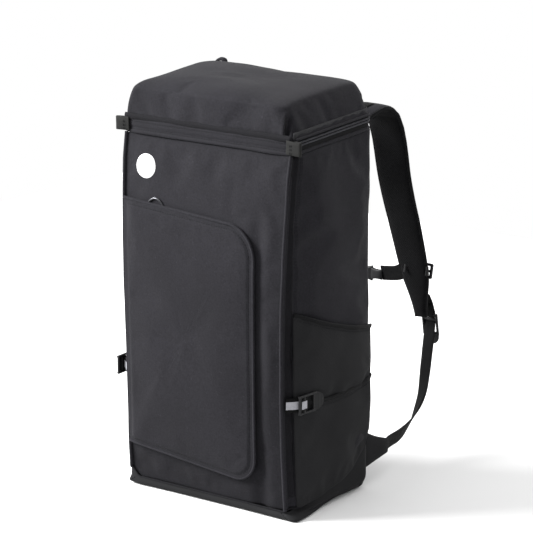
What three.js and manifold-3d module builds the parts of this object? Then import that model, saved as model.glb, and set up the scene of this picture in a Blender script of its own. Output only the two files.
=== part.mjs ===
// Tall boxy ski boot backpack, in millimetres.
// +Z is up, the front faces -Y, and the origin is the centre of the bottom, on the floor.
import * as THREE from "three";
import { mergeVertices } from "three/addons/utils/BufferGeometryUtils.js";
import Module from "manifold-3d";

const wasm = await Module();
wasm.setup();

// Driving dimensions of the body
const WIDTH = 290;
const HALF = WIDTH / 2;
const BACK = 88;
const WALL = 4;
const GAP = 0.3;
const FRONT_HALF = 138;
const FRONT_SLOPE = 0.05;
const HINGE_Y = -92.5;
const SEAM_Z = 508.5;
const ZIP_Z = 521.9;
const LID_Z = 531;

// Side view of the front panel, as (y, z) from the base to the top band
const FRONT_LINE = new THREE.SplineCurve([
  new THREE.Vector2(-97, 20),
  new THREE.Vector2(-102, 112),
  new THREE.Vector2(-105.5, 322),
  new THREE.Vector2(-98.4, 470),
  new THREE.Vector2(-92.5, SEAM_Z),
]);
// Side view of the seam between the side panels and the base, as (y, z)
const BASE_SEAM = new THREE.SplineCurve([
  new THREE.Vector2(-92, 20),
  new THREE.Vector2(-37, 21.5),
  new THREE.Vector2(17, 31),
  new THREE.Vector2(77, 67),
  new THREE.Vector2(BACK, 80),
]);

// Lid
const RIDGE_HALF = 126;
const RIDGE_RISE = 38;
const CROWN = 8;
const LID_BACK = 90;
const LID_CORNER = 16;

// Front pocket
const POCKET = {
  left: -137,
  right: 90,
  low: 58,
  high: 412,
  slope: 12,
  depth: 7,
  cloth: 4,
  lip: 22,
  top_r: 46,
  low_r: 32,
};
const POCKET_SLIDER_X = -81;

// Side pockets and side straps
const POUCH_OUT = 151;
const POUCH_CLOTH = 1.4;
const STRAP_Z = 165;
const WEBBING = 20;
const WEBBING_THICK = 1.8;
const STRAP_X = HALF + GAP + 1.2;
const BUCKLE_Y = -75;

// Harness
const PATCH_BACK = BACK + GAP + 4;
const HARNESS_Z = 488;
const PAD_THICK = 11;
const HARNESS_Y = PATCH_BACK + GAP + PAD_THICK / 2;
const STERNUM_Z = 272;

const finishes = {
  cloth: new THREE.MeshStandardMaterial({ color: 0x3c3c40, roughness: 0.9 }),
  base_cloth: new THREE.MeshStandardMaterial({ color: 0x333335, roughness: 0.92 }),
  webbing: new THREE.MeshStandardMaterial({ color: 0x1b1b1d, roughness: 0.85 }),
  mesh: new THREE.MeshStandardMaterial({ color: 0x161618, roughness: 0.95 }),
  plastic: new THREE.MeshStandardMaterial({ color: 0x242424, roughness: 0.45 }),
  zip: new THREE.MeshStandardMaterial({ color: 0x2a2a2d, roughness: 0.6 }),
  metal: new THREE.MeshStandardMaterial({ color: 0x303034, roughness: 0.3, metalness: 0.8 }),
  board: new THREE.MeshStandardMaterial({ color: 0x202020, roughness: 0.7 }),
  reflective: new THREE.MeshStandardMaterial({ color: 0xc0c0c4, roughness: 0.35, metalness: 0.2 }),
  badge: new THREE.MeshStandardMaterial({ color: 0xe8e8e8, roughness: 0.6 }),
};

const bag = new THREE.Group();
const mirrored = new THREE.Group();
mirrored.scale.x = -1;
bag.add(mirrored);

function add(name, geometry, finish, { at = [0, 0, 0], turn = [0, 0, 0], into = bag } = {}) {
  const mesh = new THREE.Mesh(geometry, finishes[finish]);
  mesh.name = name;
  mesh.position.set(...at);
  mesh.rotation.set(...turn);
  into.add(mesh);
}

// The same piece on the right and, reflected in x = 0, on the left
function addPair(name, geometry, finish, place = {}) {
  add(`${name}_right`, geometry, finish, place);
  add(`${name}_left`, geometry, finish, { ...place, into: mirrored });
}

// Height that the zip line and the lid gain from the front edge to depth y
function rise(y) {
  return FRONT_SLOPE * (y - HINGE_Y);
}

function slope(geometry) {
  const shear = new THREE.Matrix4();
  shear.elements[6] = FRONT_SLOPE;
  shear.elements[14] = -FRONT_SLOPE * HINGE_Y;
  return geometry.applyMatrix4(shear);
}

function frontY(z) {
  const points = FRONT_LINE.getPoints(40);
  const above = points.findIndex((p) => p.y >= z);
  if (above < 1) return above === 0 ? points[0].x : points[40].x;
  const [a, b] = [points[above - 1], points[above]];
  return a.x + ((b.x - a.x) * (z - a.y)) / (b.y - a.y);
}

function shapeOf(points) {
  return new THREE.Shape(points.map(([x, y]) => new THREE.Vector2(x, y)));
}

function toShape(outline) {
  return Array.isArray(outline) ? shapeOf(outline) : outline;
}

// Prism of an (x, y) outline, from z = low to z = high
function prismZ(outline, low, high, curveSegments = 6) {
  const depth = high - low;
  const geometry = new THREE.ExtrudeGeometry(toShape(outline), { depth, curveSegments, bevelEnabled: false });
  return geometry.translate(0, 0, low);
}

// Prism of a (y, z) outline, from x = low to x = high
function prismX(outline, low, high, curveSegments = 6) {
  const turn = new THREE.Matrix4().set(0, 0, 1, 0, 1, 0, 0, 0, 0, 1, 0, 0, 0, 0, 0, 1);
  return prismZ(outline, low, high, curveSegments).applyMatrix4(turn);
}

// Prism of an (x, z) outline, from y = low to y = high
function prismY(outline, low, high, curveSegments = 6) {
  const turn = new THREE.Matrix4().set(1, 0, 0, 0, 0, 0, -1, 0, 0, 1, 0, 0, 0, 0, 0, 1);
  return prismZ(outline, -high, -low, curveSegments).applyMatrix4(turn);
}

function box(x0, x1, y0, y1, z0, z1) {
  const geometry = new THREE.BoxGeometry(x1 - x0, y1 - y0, z1 - z0);
  return geometry.translate((x0 + x1) / 2, (y0 + y1) / 2, (z0 + z1) / 2);
}

function solid(geometry) {
  const bare = new THREE.BufferGeometry();
  bare.setAttribute("position", (geometry.index ? geometry.toNonIndexed() : geometry).attributes.position);
  const merged = mergeVertices(bare, 1e-3);
  const triVerts = new Uint32Array(merged.index.array);
  return new wasm.Manifold(
    new wasm.Mesh({ numProp: 3, vertProperties: merged.attributes.position.array, triVerts }),
  );
}

function geometryOf(body) {
  const mesh = body.getMesh();
  const geometry = new THREE.BufferGeometry();
  geometry.setAttribute("position", new THREE.BufferAttribute(new Float32Array(mesh.vertProperties), 3));
  geometry.setIndex(new THREE.BufferAttribute(new Uint32Array(mesh.triVerts), 1));
  return geometry;
}

function join(...geometries) {
  return geometryOf(geometries.map(solid).reduce((a, b) => a.add(b)));
}

function cut(first, ...tools) {
  return geometryOf(tools.map(solid).reduce((a, b) => a.subtract(b), solid(first)));
}

function common(first, second) {
  return geometryOf(solid(first).intersect(solid(second)));
}

// Rectangle with rounded corners, as a shape
function roundedRect(x0, x1, y0, y1, r) {
  const s = new THREE.Shape();
  s.moveTo(x0 + r, y0);
  s.lineTo(x1 - r, y0);
  s.absarc(x1 - r, y0 + r, r, -Math.PI / 2, 0);
  s.lineTo(x1, y1 - r);
  s.absarc(x1 - r, y1 - r, r, 0, Math.PI / 2);
  s.lineTo(x0 + r, y1);
  s.absarc(x0 + r, y1 - r, r, Math.PI / 2, Math.PI);
  s.lineTo(x0, y0 + r);
  s.absarc(x0 + r, y0 + r, r, Math.PI, 1.5 * Math.PI);
  return s;
}

// Flat strap swept along points; across is the direction of its width, and width may be a function of 0..1
function strap(points, across, width, thickness, steps = 14) {
  const curve = new THREE.CatmullRomCurve3(points.map((p) => new THREE.Vector3(...p)));
  const widthAt = typeof width === "function" ? width : () => width;
  const corners = [];
  for (let i = 0; i <= steps; i++) {
    const t = i / steps;
    const side = new THREE.Vector3(...(typeof across === "function" ? across(t) : across));
    const tangent = curve.getTangentAt(t);
    side.addScaledVector(tangent, -side.dot(tangent)).normalize();
    const normal = new THREE.Vector3().crossVectors(tangent, side).multiplyScalar(thickness / 2);
    side.multiplyScalar(widthAt(t) / 2);
    const centre = curve.getPointAt(t);
    for (const [a, b] of [[-1, -1], [1, -1], [1, 1], [-1, 1]]) {
      corners.push(centre.clone().addScaledVector(side, a).addScaledVector(normal, b));
    }
  }
  const faces = [0, 2, 1, 0, 3, 2];
  for (let i = 0; i < steps; i++) {
    for (let k = 0; k < 4; k++) {
      const [a, b] = [4 * i + k, 4 * i + ((k + 1) % 4)];
      faces.push(a, b, b + 4, a, b + 4, a + 4);
    }
  }
  const e = 4 * steps;
  faces.push(e, e + 1, e + 2, e, e + 2, e + 3);
  const geometry = new THREE.BufferGeometry().setFromPoints(corners);
  return geometry.setIndex(faces);
}

// Front line between two heights, moved back by offset, as [y, z] pairs
function frontPoints(low, high, offset, count = 14) {
  return Array.from({ length: count + 1 }, (_, i) => {
    const z = low + ((high - low) * i) / count;
    return [frontY(z) + offset, z];
  });
}

// Curved sheet that follows the front line: offsets are measured from it, towards the back
function frontSheet(low, high, outer, inner, x0, x1, count = 14) {
  const outline = [...frontPoints(low, high, outer, count), ...frontPoints(low, high, inner, count).reverse()];
  return prismX(outline, x0, x1);
}

function baseSeam(offset) {
  return BASE_SEAM.getPoints(10).map((p) => [p.x, p.y + offset]);
}

function makeFrontPanel() {
  const low = 20 + GAP;
  add("front_panel", frontSheet(low, SEAM_Z - GAP, 0, WALL, -FRONT_HALF, FRONT_HALF), "cloth");
}

function makeSidePanels() {
  const front = frontPoints(30, SEAM_Z - 4, WALL + GAP);
  const seam = baseSeam(GAP).filter(([y]) => y > front[0][0] + 2 && y < BACK);
  const top = SEAM_Z - GAP;
  const outline = [
    ...seam,
    [BACK, 80 + GAP],
    [BACK, top + rise(BACK)],
    [front[front.length - 1][0], top],
    ...front.reverse(),
    [front[front.length - 1][0], seam[0][1]],
  ];
  addPair("side_panel", prismX(outline, HALF - WALL, HALF), "cloth");
}

function makeBackPanel() {
  const half = HALF - WALL - GAP;
  add("back_panel", box(-half, half, BACK - WALL, BACK, 80 + GAP, SEAM_Z + rise(BACK) - GAP), "cloth");
}

// Base panel: a floor with a turned-up wall all round that climbs towards the back
function makeBase() {
  const front = -96;
  const wall = [[front, 0], [BACK, 0], ...baseSeam(0).reverse(), [front, 20]];
  const full = prismX(wall, -HALF, HALF);
  const inside = box(-HALF + WALL, HALF - WALL, front + WALL, BACK - WALL, WALL, 200);
  const plan = prismZ(roundedRect(-HALF, HALF, -97, BACK, 12), -1, 200);
  add("base_panel", cut(common(full, plan), inside), "base_cloth");
  const low = WALL + GAP;
  const board = box(-HALF + 6, HALF - 6, front + 6, BACK - 6, low, low + 3);
  add("base_board", board, "board");
}

function makePiping() {
  const reach = 2.2;
  const x = FRONT_HALF + GAP + reach;
  const line = frontPoints(24, SEAM_Z - 1, 1.5).map(([y, z]) => new THREE.Vector3(x, y, z));
  const ring = new THREE.Shape().absarc(0, 0, reach, 0, 2 * Math.PI);
  const extrudePath = new THREE.CatmullRomCurve3(line);
  const options = { extrudePath, steps: 14, curveSegments: 8, bevelEnabled: false };
  addPair("front_piping", new THREE.ExtrudeGeometry(ring, options), "cloth");
}

// U-shaped strip in plan that runs along the sides and the back
function zipTrack(low, high, thick) {
  const start = -87.7;
  const r = 14;
  const outline = [
    [-HALF, start],
    [-HALF + thick, start],
    [-HALF + thick, BACK - r],
    [-HALF + r, BACK - thick],
    [HALF - r, BACK - thick],
    [HALF - thick, BACK - r],
    [HALF - thick, start],
    [HALF, start],
    [HALF, BACK - r],
    [HALF - 4, BACK - 4],
    [HALF - r, BACK],
    [-HALF + r, BACK],
    [-HALF + 4, BACK - 4],
    [-HALF, BACK - r],
  ];
  return slope(prismZ(outline, low, high));
}

function makeTopBand() {
  const band = box(-FRONT_HALF - 5, FRONT_HALF + 5, HINGE_Y, HINGE_Y + WALL, SEAM_Z + GAP, LID_Z - GAP);
  add("front_band", band, "cloth");
  add("zip_lower_track", zipTrack(SEAM_Z + GAP, ZIP_Z - 0.2, 5), "zip");
  const tab = roundedRect(139, 162, 509, 528, 1.5);
  addPair("zip_end_tab", prismY(tab, HINGE_Y - GAP - 3.6, HINGE_Y - GAP, 2), "webbing");
}

// Front view of the lid, inset by t on the sides and the top
function lidOutline(t, low) {
  const s = new THREE.Shape();
  const shoulder = LID_Z + RIDGE_RISE - t;
  s.moveTo(-HALF + t, low);
  s.lineTo(HALF - t, low);
  s.lineTo(RIDGE_HALF + 4 - t, shoulder - 10);
  s.quadraticCurveTo(RIDGE_HALF + 1 - t, shoulder, RIDGE_HALF - 10, shoulder + 1);
  s.quadraticCurveTo(0, shoulder + 2 * CROWN, -RIDGE_HALF + 10, shoulder + 1);
  s.quadraticCurveTo(-RIDGE_HALF - 1 + t, shoulder, -RIDGE_HALF - 4 + t, shoulder - 10);
  s.closePath();
  return s;
}

function makeLid() {
  const front = HINGE_Y + 2.5;
  const low = LID_Z + GAP;
  const plan = roundedRect(-HALF, HALF, front, LID_BACK, LID_CORNER);
  const outer = common(prismY(lidOutline(0, low), front, LID_BACK), prismZ(plan, 500, 640));
  const inner = prismY(lidOutline(WALL, low - 5), front + WALL, LID_BACK - WALL);
  const room = roundedRect(-HALF + WALL, HALF - WALL, front + WALL, LID_BACK - WALL, LID_CORNER - WALL);
  const hollow = common(inner, prismZ(room, 500, 640));
  add("lid_shell", slope(cut(outer, hollow)), "cloth");
  add("zip_upper_track", zipTrack(ZIP_Z + 0.2, LID_Z, 5), "zip");
  const ridge = LID_Z + RIDGE_RISE + rise(LID_BACK);
  const ear = roundedRect(-115, -98, ridge - 20, ridge - 1, 2);
  add("lid_corner_loop", prismY(ear, LID_BACK + GAP, LID_BACK + GAP + 3, 2), "webbing");
}

// The two sliders of the lid zip meet at the middle of the back
function makeLidSliders() {
  const z = ZIP_Z + rise(BACK);
  const x = 9;
  const face = BACK + GAP + 4.5;
  const shell = roundedRect(x - 5, x + 5, z - 5.5, z + 5.5, 2.5);
  addPair("lid_slider", prismY(shell, BACK + GAP, face, 2), "metal");
  const pull = roundedRect(x - 2.5, x + 2.5, z - 19, z - 1, 1.5);
  addPair("lid_slider_pull", prismY(pull, face + GAP, face + GAP + 1.5, 2), "metal");
}

// Front view of the pocket, inset from its edge; its top and bottom edges fall to the right
function pocketPlan(inset) {
  const { left, right, low, high, slope: fall, top_r: rt, low_r: rl } = POCKET;
  const [top, bottom] = [high - fall / 2, low - 9];
  const s = new THREE.Shape();
  s.moveTo(left, low + 10 + inset);
  s.lineTo(right - rl, bottom + inset);
  s.absarc(right - rl, bottom + rl, rl - inset, -Math.PI / 2, 0);
  s.lineTo(right - inset, top - rt);
  s.absarc(right - rt, top - rt, rt - inset, 0, Math.PI / 2);
  s.lineTo(left, high + fall / 2 - inset);
  s.closePath();
  return s;
}

// Front pocket: a zip wall that stands on the front panel, and the flap that overhangs it
function makeFrontPocket() {
  const { depth, cloth, low, high, left, right, lip } = POCKET;
  const [bottom, top] = [low - 12, high + 10];
  const wallSheet = frontSheet(bottom, top, -depth, -GAP, left - 2, right + 2, 10);
  const ring = cut(prismY(pocketPlan(lip), -130, -80), prismY(pocketPlan(lip + 3), -131, -79));
  const hinge = box(left - 5, left + 2.5, -130, -80, bottom, top);
  add("pocket_gusset", cut(common(wallSheet, ring), hinge), "zip");
  const flapSheet = frontSheet(bottom, top, -depth - GAP - cloth, -depth - GAP, left - 2, right + 2, 12);
  add("front_pocket_flap", common(flapSheet, prismY(pocketPlan(0), -140, -80)), "cloth");
}

// Slider on the top run of the pocket zip; its ring pull stands behind the edge of the flap
function makePocketSlider() {
  const { left, right, high, top_r: rt, lip, slope: fall } = POCKET;
  const [x, r, wire] = [POCKET_SLIDER_X, 12.8, 1.5];
  const z = high + fall / 2 - (fall * (x - left)) / (right - rt - left) - lip + 2 * GAP;
  const y = frontY(z) - 3.8;
  add("pocket_slider", box(x - 7, x + 7, y - 2.8, y + 2.8, z, z + 3.5), "metal");
  const ring = new THREE.TorusGeometry(r, wire, 8, 24);
  add("pocket_ring_pull", ring, "metal", {
    at: [x, frontY(z + 18) - 3.8, z + 3.5 + GAP + r + wire],
    turn: [Math.PI / 2 - 0.03, 0, 0],
  });
}

// Open pouch on a side panel: face is its outline as [y, z] pairs, and floor the bottom of its room
function pouch(name, face, floor) {
  const seat = HALF + GAP;
  const ys = face.map(([y]) => y);
  const room = box(seat - 1, POUCH_OUT - POUCH_CLOTH, Math.min(...ys) + 2, Math.max(...ys) - 2, floor, 400);
  addPair(name, cut(prismX(face, seat, POUCH_OUT), room), "base_cloth");
}

function makeSidePockets() {
  pouch("side_pocket_upper", [[-83, 180], [84, 180], [84, 240], [31, 251], [-20, 268], [-55, 282], [-83, 294]], 184);
  const mouth = [[84, 166], [32, 160], [-26, 160], [-30, 150], [-83, 150]];
  pouch("side_pocket_lower", [[-83, 30], [0, 30], [40, 42], [84, 78], ...mouth], 82);
}

// Compression strap on each side: webbing from the front seam, its light stripe and a ladderlock
function makeSideStraps() {
  const route = [-96.5, -60, -36].map((y) => [STRAP_X, y, STRAP_Z]);
  addPair("side_strap", strap(route, [0, 0, 1], WEBBING, WEBBING_THICK, 4), "webbing");
  const over = STRAP_X + WEBBING_THICK / 2 + GAP + 0.3;
  const stripe = [-96, -80, -58].map((y) => [over, y, STRAP_Z]);
  addPair("side_strap_stripe", strap(stripe, [0, 0, 1], 11, 0.6, 3), "reflective");
  const place = { at: [STRAP_X + 5, BUCKLE_Y, STRAP_Z], turn: [0, Math.PI / 2, 0] };
  addPair("side_ladderlock", ladderlock(), "plastic", place);
}

// Ladderlock: a frame with three bars and a curved thumb tab, flat in x and y, its tab towards +y
function ladderlock() {
  const frame = prismZ(roundedRect(-13.5, 13.5, -16, 14, 4), -2, 2);
  const slots = [-11, -1.5, 8].map((y) => box(-10.5, 10.5, y - 2.6, y + 2.6, -3, 3));
  const tab = prismZ(roundedRect(-11, 11, 11, 33, 9), -1, 1);
  const lifted = tab.applyMatrix4(new THREE.Matrix4().makeRotationX(0.16)).translate(0, 0, -1.2);
  return join(cut(frame, ...slots), lifted);
}

function makeBackPads() {
  const pad = roundedRect(24, 128, 92, 462, 26);
  addPair("back_pad", prismY(pad, BACK + GAP, BACK + GAP + 8), "mesh");
  const yoke = roundedRect(-118, 118, HARNESS_Z - 15, HARNESS_Z + 18, 6);
  add("yoke_patch", prismY(yoke, BACK + GAP, PATCH_BACK, 3), "base_cloth");
}

function makeHaulHandle() {
  const [half, low, high, thick] = [34, HARNESS_Z - 6, HARNESS_Z + 20, 2.6];
  const arch = (t) => {
    const s = new THREE.Shape();
    s.moveTo(-half + t, low);
    s.bezierCurveTo(-half + t, high - t + 4, -half / 2, high - t, 0, high - t);
    s.bezierCurveTo(half / 2, high - t, half - t, high - t + 4, half - t, low);
    return s;
  };
  const inner = prismY(arch(thick), PATCH_BACK - 5, PATCH_BACK + 40, 8);
  const body = prismY(arch(0), PATCH_BACK + GAP, PATCH_BACK + GAP + WEBBING, 8);
  add("haul_handle", cut(body, inner.translate(0, 0, -0.01)), "webbing");
}

// Route of the middle of a shoulder strap, from the yoke over the crest to its tip
const SHOULDER_ROUTE = [
  [62, HARNESS_Y, HARNESS_Z],
  [63, 132, 503],
  [65, 175, 521],
  [68, 206, 527],
  [70, 226, 512],
  [73, 239, 455],
  [77, 249, 396],
  [81, 265, 342],
  [84, 278, 297],
  [87, 290, 250],
  [89, 299, 211],
  [90, 300, 190],
];

function shoulderWidth(t) {
  const body = 56 - 10 * Math.max(0, t - 0.3);
  const taper = THREE.MathUtils.smoothstep(t, 0.62, 1);
  return body - 20 * taper;
}

function makeShoulderStraps() {
  const pad = strap(SHOULDER_ROUTE, [1, 0, 0], shoulderWidth, PAD_THICK, 30);
  const root = new THREE.CylinderGeometry(PAD_THICK / 2, PAD_THICK / 2, 50, 12);
  root.applyMatrix4(new THREE.Matrix4().makeRotationZ(Math.PI / 2));
  root.translate(SHOULDER_ROUTE[0][0], HARNESS_Y, HARNESS_Z);
  addPair("shoulder_strap", join(pad, root), "mesh");
  const tongue = [[90, 308.5, 225], [91, 311, 212], [92, 315.5, 200]];
  addPair("strap_end_webbing", strap(tongue, [1, 0, 0], WEBBING, WEBBING_THICK, 3), "webbing");
  const place = { at: [93, 319.5, 182], turn: [-Math.PI / 2 - 0.05, 0, 0] };
  addPair("shoulder_ladderlock", ladderlock(), "plastic", place);
}

// Webbing from each shoulder ladderlock down to the wing at the bottom of the back
function makeLowerWebbing() {
  const route = [
    [93, 316.5, 174],
    [97, 306, 144],
    [101, 294, 107],
    [106, 277, 80],
    [113, 246, 57],
    [120, 205, 46],
    [128, 163, 46],
    [134, 146, 46],
  ];
  const across = (t) => [1 - t, 0, -0.9 * t];
  addPair("lower_webbing", strap(route, across, WEBBING, WEBBING_THICK, 30), "webbing");
  const wing = prismX([[1, 26], [56, 38], [56, 55], [1, 84]], -1.5, 1.5);
  addPair("wing", wing, "base_cloth", { at: [140, BACK, 0], turn: [0, 0, 0.12] });
}

// Chest strap between the shoulder straps: two clips, two lengths of webbing and a side-release buckle
function makeSternumStrap() {
  const clip = join(box(-13, 29, 0, 2.5, -11, 11), box(25.5, 29, -15, 1, -11, 11));
  const place = { at: [85, 284 + PAD_THICK / 2 + 1.4, STERNUM_Z], turn: [0.255, 0, 0] };
  addPair("sternum_clip", clip, "plastic", place);
  const [y, z] = [293.5, STERNUM_Z - 8];
  const route = [[69.8, y + 1, STERNUM_Z], [50, y, z + 3], [25, y, z]];
  addPair("sternum_webbing", strap(route, [0, 0, 1], 15, 1.6, 5), "webbing");
  const socket = cut(
    prismY(roundedRect(-23.5, 10, z - 12, z + 12, 5), y - 4.5, y + 4.5, 3),
    box(-16, 20, y - 3, y + 3, z - 9, z + 9),
  );
  add("sternum_buckle_socket", socket, "plastic");
  const prongs = [-1, 1].map((k) => box(-13, 14, y - 2.5, y + 2.5, z + k * 7 - 1.5, z + k * 7 + 1.5));
  const plug = join(prismY(roundedRect(10.3, 23.5, z - 11, z + 11, 4), y - 4, y + 4, 3), ...prongs);
  add("sternum_buckle_plug", plug, "plastic");
}

// Plain round badge on the front
function makeBadge() {
  const z = 466;
  const disc = new THREE.CylinderGeometry(17, 17, 0.8, 32);
  add("front_badge", disc, "badge", { at: [-101, frontY(z) - 1.2, z], turn: [-0.15, 0, 0] });
}

makeFrontPanel();
makeSidePanels();
makeBackPanel();
makeBase();
makePiping();
makeTopBand();
makeLid();
makeLidSliders();
makeFrontPocket();
makePocketSlider();
makeSidePockets();
makeSideStraps();
makeBackPads();
makeHaulHandle();
makeShoulderStraps();
makeLowerWebbing();
makeSternumStrap();
makeBadge();

export default bag;
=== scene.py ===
import math

import bmesh
import bpy
import numpy as np
from mathutils import Matrix, Vector, noise
from mathutils.bvhtree import BVHTree


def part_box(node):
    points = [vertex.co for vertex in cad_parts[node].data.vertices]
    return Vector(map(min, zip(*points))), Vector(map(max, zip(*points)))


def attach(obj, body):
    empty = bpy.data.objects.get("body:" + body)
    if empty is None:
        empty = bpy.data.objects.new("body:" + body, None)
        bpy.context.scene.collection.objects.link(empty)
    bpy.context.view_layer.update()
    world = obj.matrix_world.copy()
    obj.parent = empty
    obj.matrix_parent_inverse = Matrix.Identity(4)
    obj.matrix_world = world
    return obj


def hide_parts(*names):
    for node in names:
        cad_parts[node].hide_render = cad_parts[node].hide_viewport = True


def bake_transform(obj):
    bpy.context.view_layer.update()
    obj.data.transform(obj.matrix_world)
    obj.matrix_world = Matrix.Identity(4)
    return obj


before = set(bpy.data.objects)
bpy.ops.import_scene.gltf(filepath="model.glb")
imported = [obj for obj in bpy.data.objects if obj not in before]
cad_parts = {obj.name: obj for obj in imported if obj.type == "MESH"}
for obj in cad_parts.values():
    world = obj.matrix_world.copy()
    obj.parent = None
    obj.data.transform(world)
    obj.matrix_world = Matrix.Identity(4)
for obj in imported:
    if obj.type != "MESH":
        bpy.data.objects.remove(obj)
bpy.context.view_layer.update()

# ---------------------------------------------------------------- camera, light and floor

VIEW_AZIMUTH = math.radians(36.95)
VIEW_ELEVATION = math.radians(14.15)
VIEW_TARGET = Vector((0.0142, 0.0212, 0.3161))
VIEW_DISTANCE = 3.883
VIEW_LENS = 187.6


def make_camera():
    back = Vector(
        (
            math.sin(VIEW_AZIMUTH) * math.cos(VIEW_ELEVATION),
            -math.cos(VIEW_AZIMUTH) * math.cos(VIEW_ELEVATION),
            math.sin(VIEW_ELEVATION),
        )
    )
    data = bpy.data.cameras.new("camera")
    data.lens = VIEW_LENS
    data.sensor_width = 36
    data.clip_end = 60
    camera = bpy.data.objects.new("camera", data)
    bpy.context.scene.collection.objects.link(camera)
    camera.location = VIEW_TARGET + back * VIEW_DISTANCE
    camera.rotation_euler = (-back).to_track_quat("-Z", "Y").to_euler()
    bpy.context.scene.camera = camera


def make_area_light(name, place, target, size, watts):
    data = bpy.data.lights.new(name, "AREA")
    data.shape = "DISK"
    data.size = size
    data.energy = watts
    light = bpy.data.objects.new(name, data)
    bpy.context.scene.collection.objects.link(light)
    light.location = place
    light.rotation_euler = (Vector(target) - Vector(place)).to_track_quat("-Z", "Y").to_euler()


def make_studio():
    world = bpy.data.worlds.new("studio")
    bpy.context.scene.world = world
    world.use_nodes = True
    background = world.node_tree.nodes["Background"]
    background.inputs["Color"].default_value = (1, 1, 1, 1)
    background.inputs["Strength"].default_value = 1.0
    middle = (0, 0, 0.3)
    make_area_light("key", (-2.9, -2.1, 2.3), middle, 2.2, 680)
    make_area_light("top", (0.2, -0.4, 2.8), middle, 2.0, 18)
    make_area_light("rim", (0.5, 3.1, 1.9), middle, 1.8, 60)
    size = 1.5
    corners = [(-size, -size, 0), (size, -size, 0), (size, size, 0), (-size, size, 0)]
    mesh = bpy.data.meshes.new("floor")
    mesh.from_pydata(corners, [], [(0, 1, 2, 3)])
    floor = bpy.data.objects.new("floor", mesh)
    bpy.context.scene.collection.objects.link(floor)
    floor.location.z = -0.0005
    paint = bpy.data.materials.new("floor")
    paint.use_nodes = True
    shader = paint.node_tree.nodes["Principled BSDF"]
    shader.inputs["Base Color"].default_value = (0.62, 0.62, 0.62, 1)
    shader.inputs["Roughness"].default_value = 0.8
    floor.data.materials.append(paint)
    bpy.context.scene.view_settings.view_transform = "Standard"


make_camera()
make_studio()

# ---------------------------------------------------------------- materials


class Nodes:
    """Short way to write a material's node tree."""

    def __init__(self, name, color, roughness, metallic=0.0, sheen=0.0, gloss=0.06):
        self.material = bpy.data.materials.new(name)
        self.material.use_nodes = True
        self.tree = self.material.node_tree
        self.shader = self.tree.nodes["Principled BSDF"]
        self.shader.inputs["Base Color"].default_value = (*color, 1)
        self.shader.inputs["Roughness"].default_value = roughness
        self.shader.inputs["Metallic"].default_value = metallic
        self.shader.inputs["Specular IOR Level"].default_value = gloss
        self.shader.inputs["Sheen Weight"].default_value = sheen
        self.shader.inputs["Sheen Roughness"].default_value = 0.45

    def put(self, socket, value):
        if isinstance(value, bpy.types.NodeSocket):
            self.tree.links.new(value, socket)
        else:
            socket.default_value = value

    def math(self, operation, a, b=0.0, c=0.0):
        node = self.tree.nodes.new("ShaderNodeMath")
        node.operation = operation
        for socket, value in zip(node.inputs, (a, b, c)):
            self.put(socket, value)
        return node.outputs[0]

    def place(self, name="cloth_co"):
        node = self.tree.nodes.new("ShaderNodeAttribute")
        node.attribute_name = name
        split = self.tree.nodes.new("ShaderNodeSeparateXYZ")
        self.tree.links.new(node.outputs["Vector"], split.inputs[0])
        return split.outputs[0], split.outputs[1]

    def object_place(self):
        return self.tree.nodes.new("ShaderNodeTexCoord").outputs["Object"]

    def noise(self, scale, detail=3.0, vector=None):
        node = self.tree.nodes.new("ShaderNodeTexNoise")
        node.inputs["Scale"].default_value = scale
        node.inputs["Detail"].default_value = detail
        self.tree.links.new(vector or self.object_place(), node.inputs["Vector"])
        return node.outputs["Fac"]

    def ramp(self, value, low, high, start=0.3, end=0.7):
        node = self.tree.nodes.new("ShaderNodeValToRGB")
        node.color_ramp.elements[0].position = start
        node.color_ramp.elements[1].position = end
        node.color_ramp.elements[0].color = (*low, 1)
        node.color_ramp.elements[1].color = (*high, 1)
        self.tree.links.new(value, node.inputs[0])
        return node.outputs[0]

    def mix(self, factor, a, b, kind="MIX"):
        node = self.tree.nodes.new("ShaderNodeMix")
        node.data_type = "RGBA"
        node.blend_type = kind
        for socket, value in ((node.inputs[0], factor), (node.inputs[6], a), (node.inputs[7], b)):
            self.put(socket, value)
        return node.outputs[2]

    def bump(self, height, distance, strength=1.0, normal=None):
        node = self.tree.nodes.new("ShaderNodeBump")
        node.inputs["Strength"].default_value = strength
        node.inputs["Distance"].default_value = distance
        self.tree.links.new(height, node.inputs["Height"])
        if normal is not None:
            self.tree.links.new(normal, node.inputs["Normal"])
        return node.outputs[0]

    def finish(self, color=None, roughness=None, normal=None):
        for name, value in (("Base Color", color), ("Roughness", roughness), ("Normal", normal)):
            if value is not None:
                self.tree.links.new(value, self.shader.inputs[name])
        return self.material


WHITE = (1.0, 1.0, 1.0)


def scaled(color, factor):
    return tuple(min(1.0, c * factor) for c in color)


def weave_heights(n, u, v, pitch):
    """Height of a plain weave: over and under threads of the given pitch, in metres."""
    pu = n.math("MULTIPLY", u, math.pi / pitch)
    pv = n.math("MULTIPLY", v, math.pi / pitch)
    su, sv = n.math("SINE", pu), n.math("SINE", pv)
    over = n.math("GREATER_THAN", n.math("MULTIPLY", su, sv), 0.0)
    warp = n.math("ABSOLUTE", su)
    weft = n.math("ABSOLUTE", sv)
    first = n.math("MULTIPLY", warp, over)
    second = n.math("MULTIPLY", weft, n.math("SUBTRACT", 1.0, over))
    return n.math("ADD", first, second)


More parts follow.
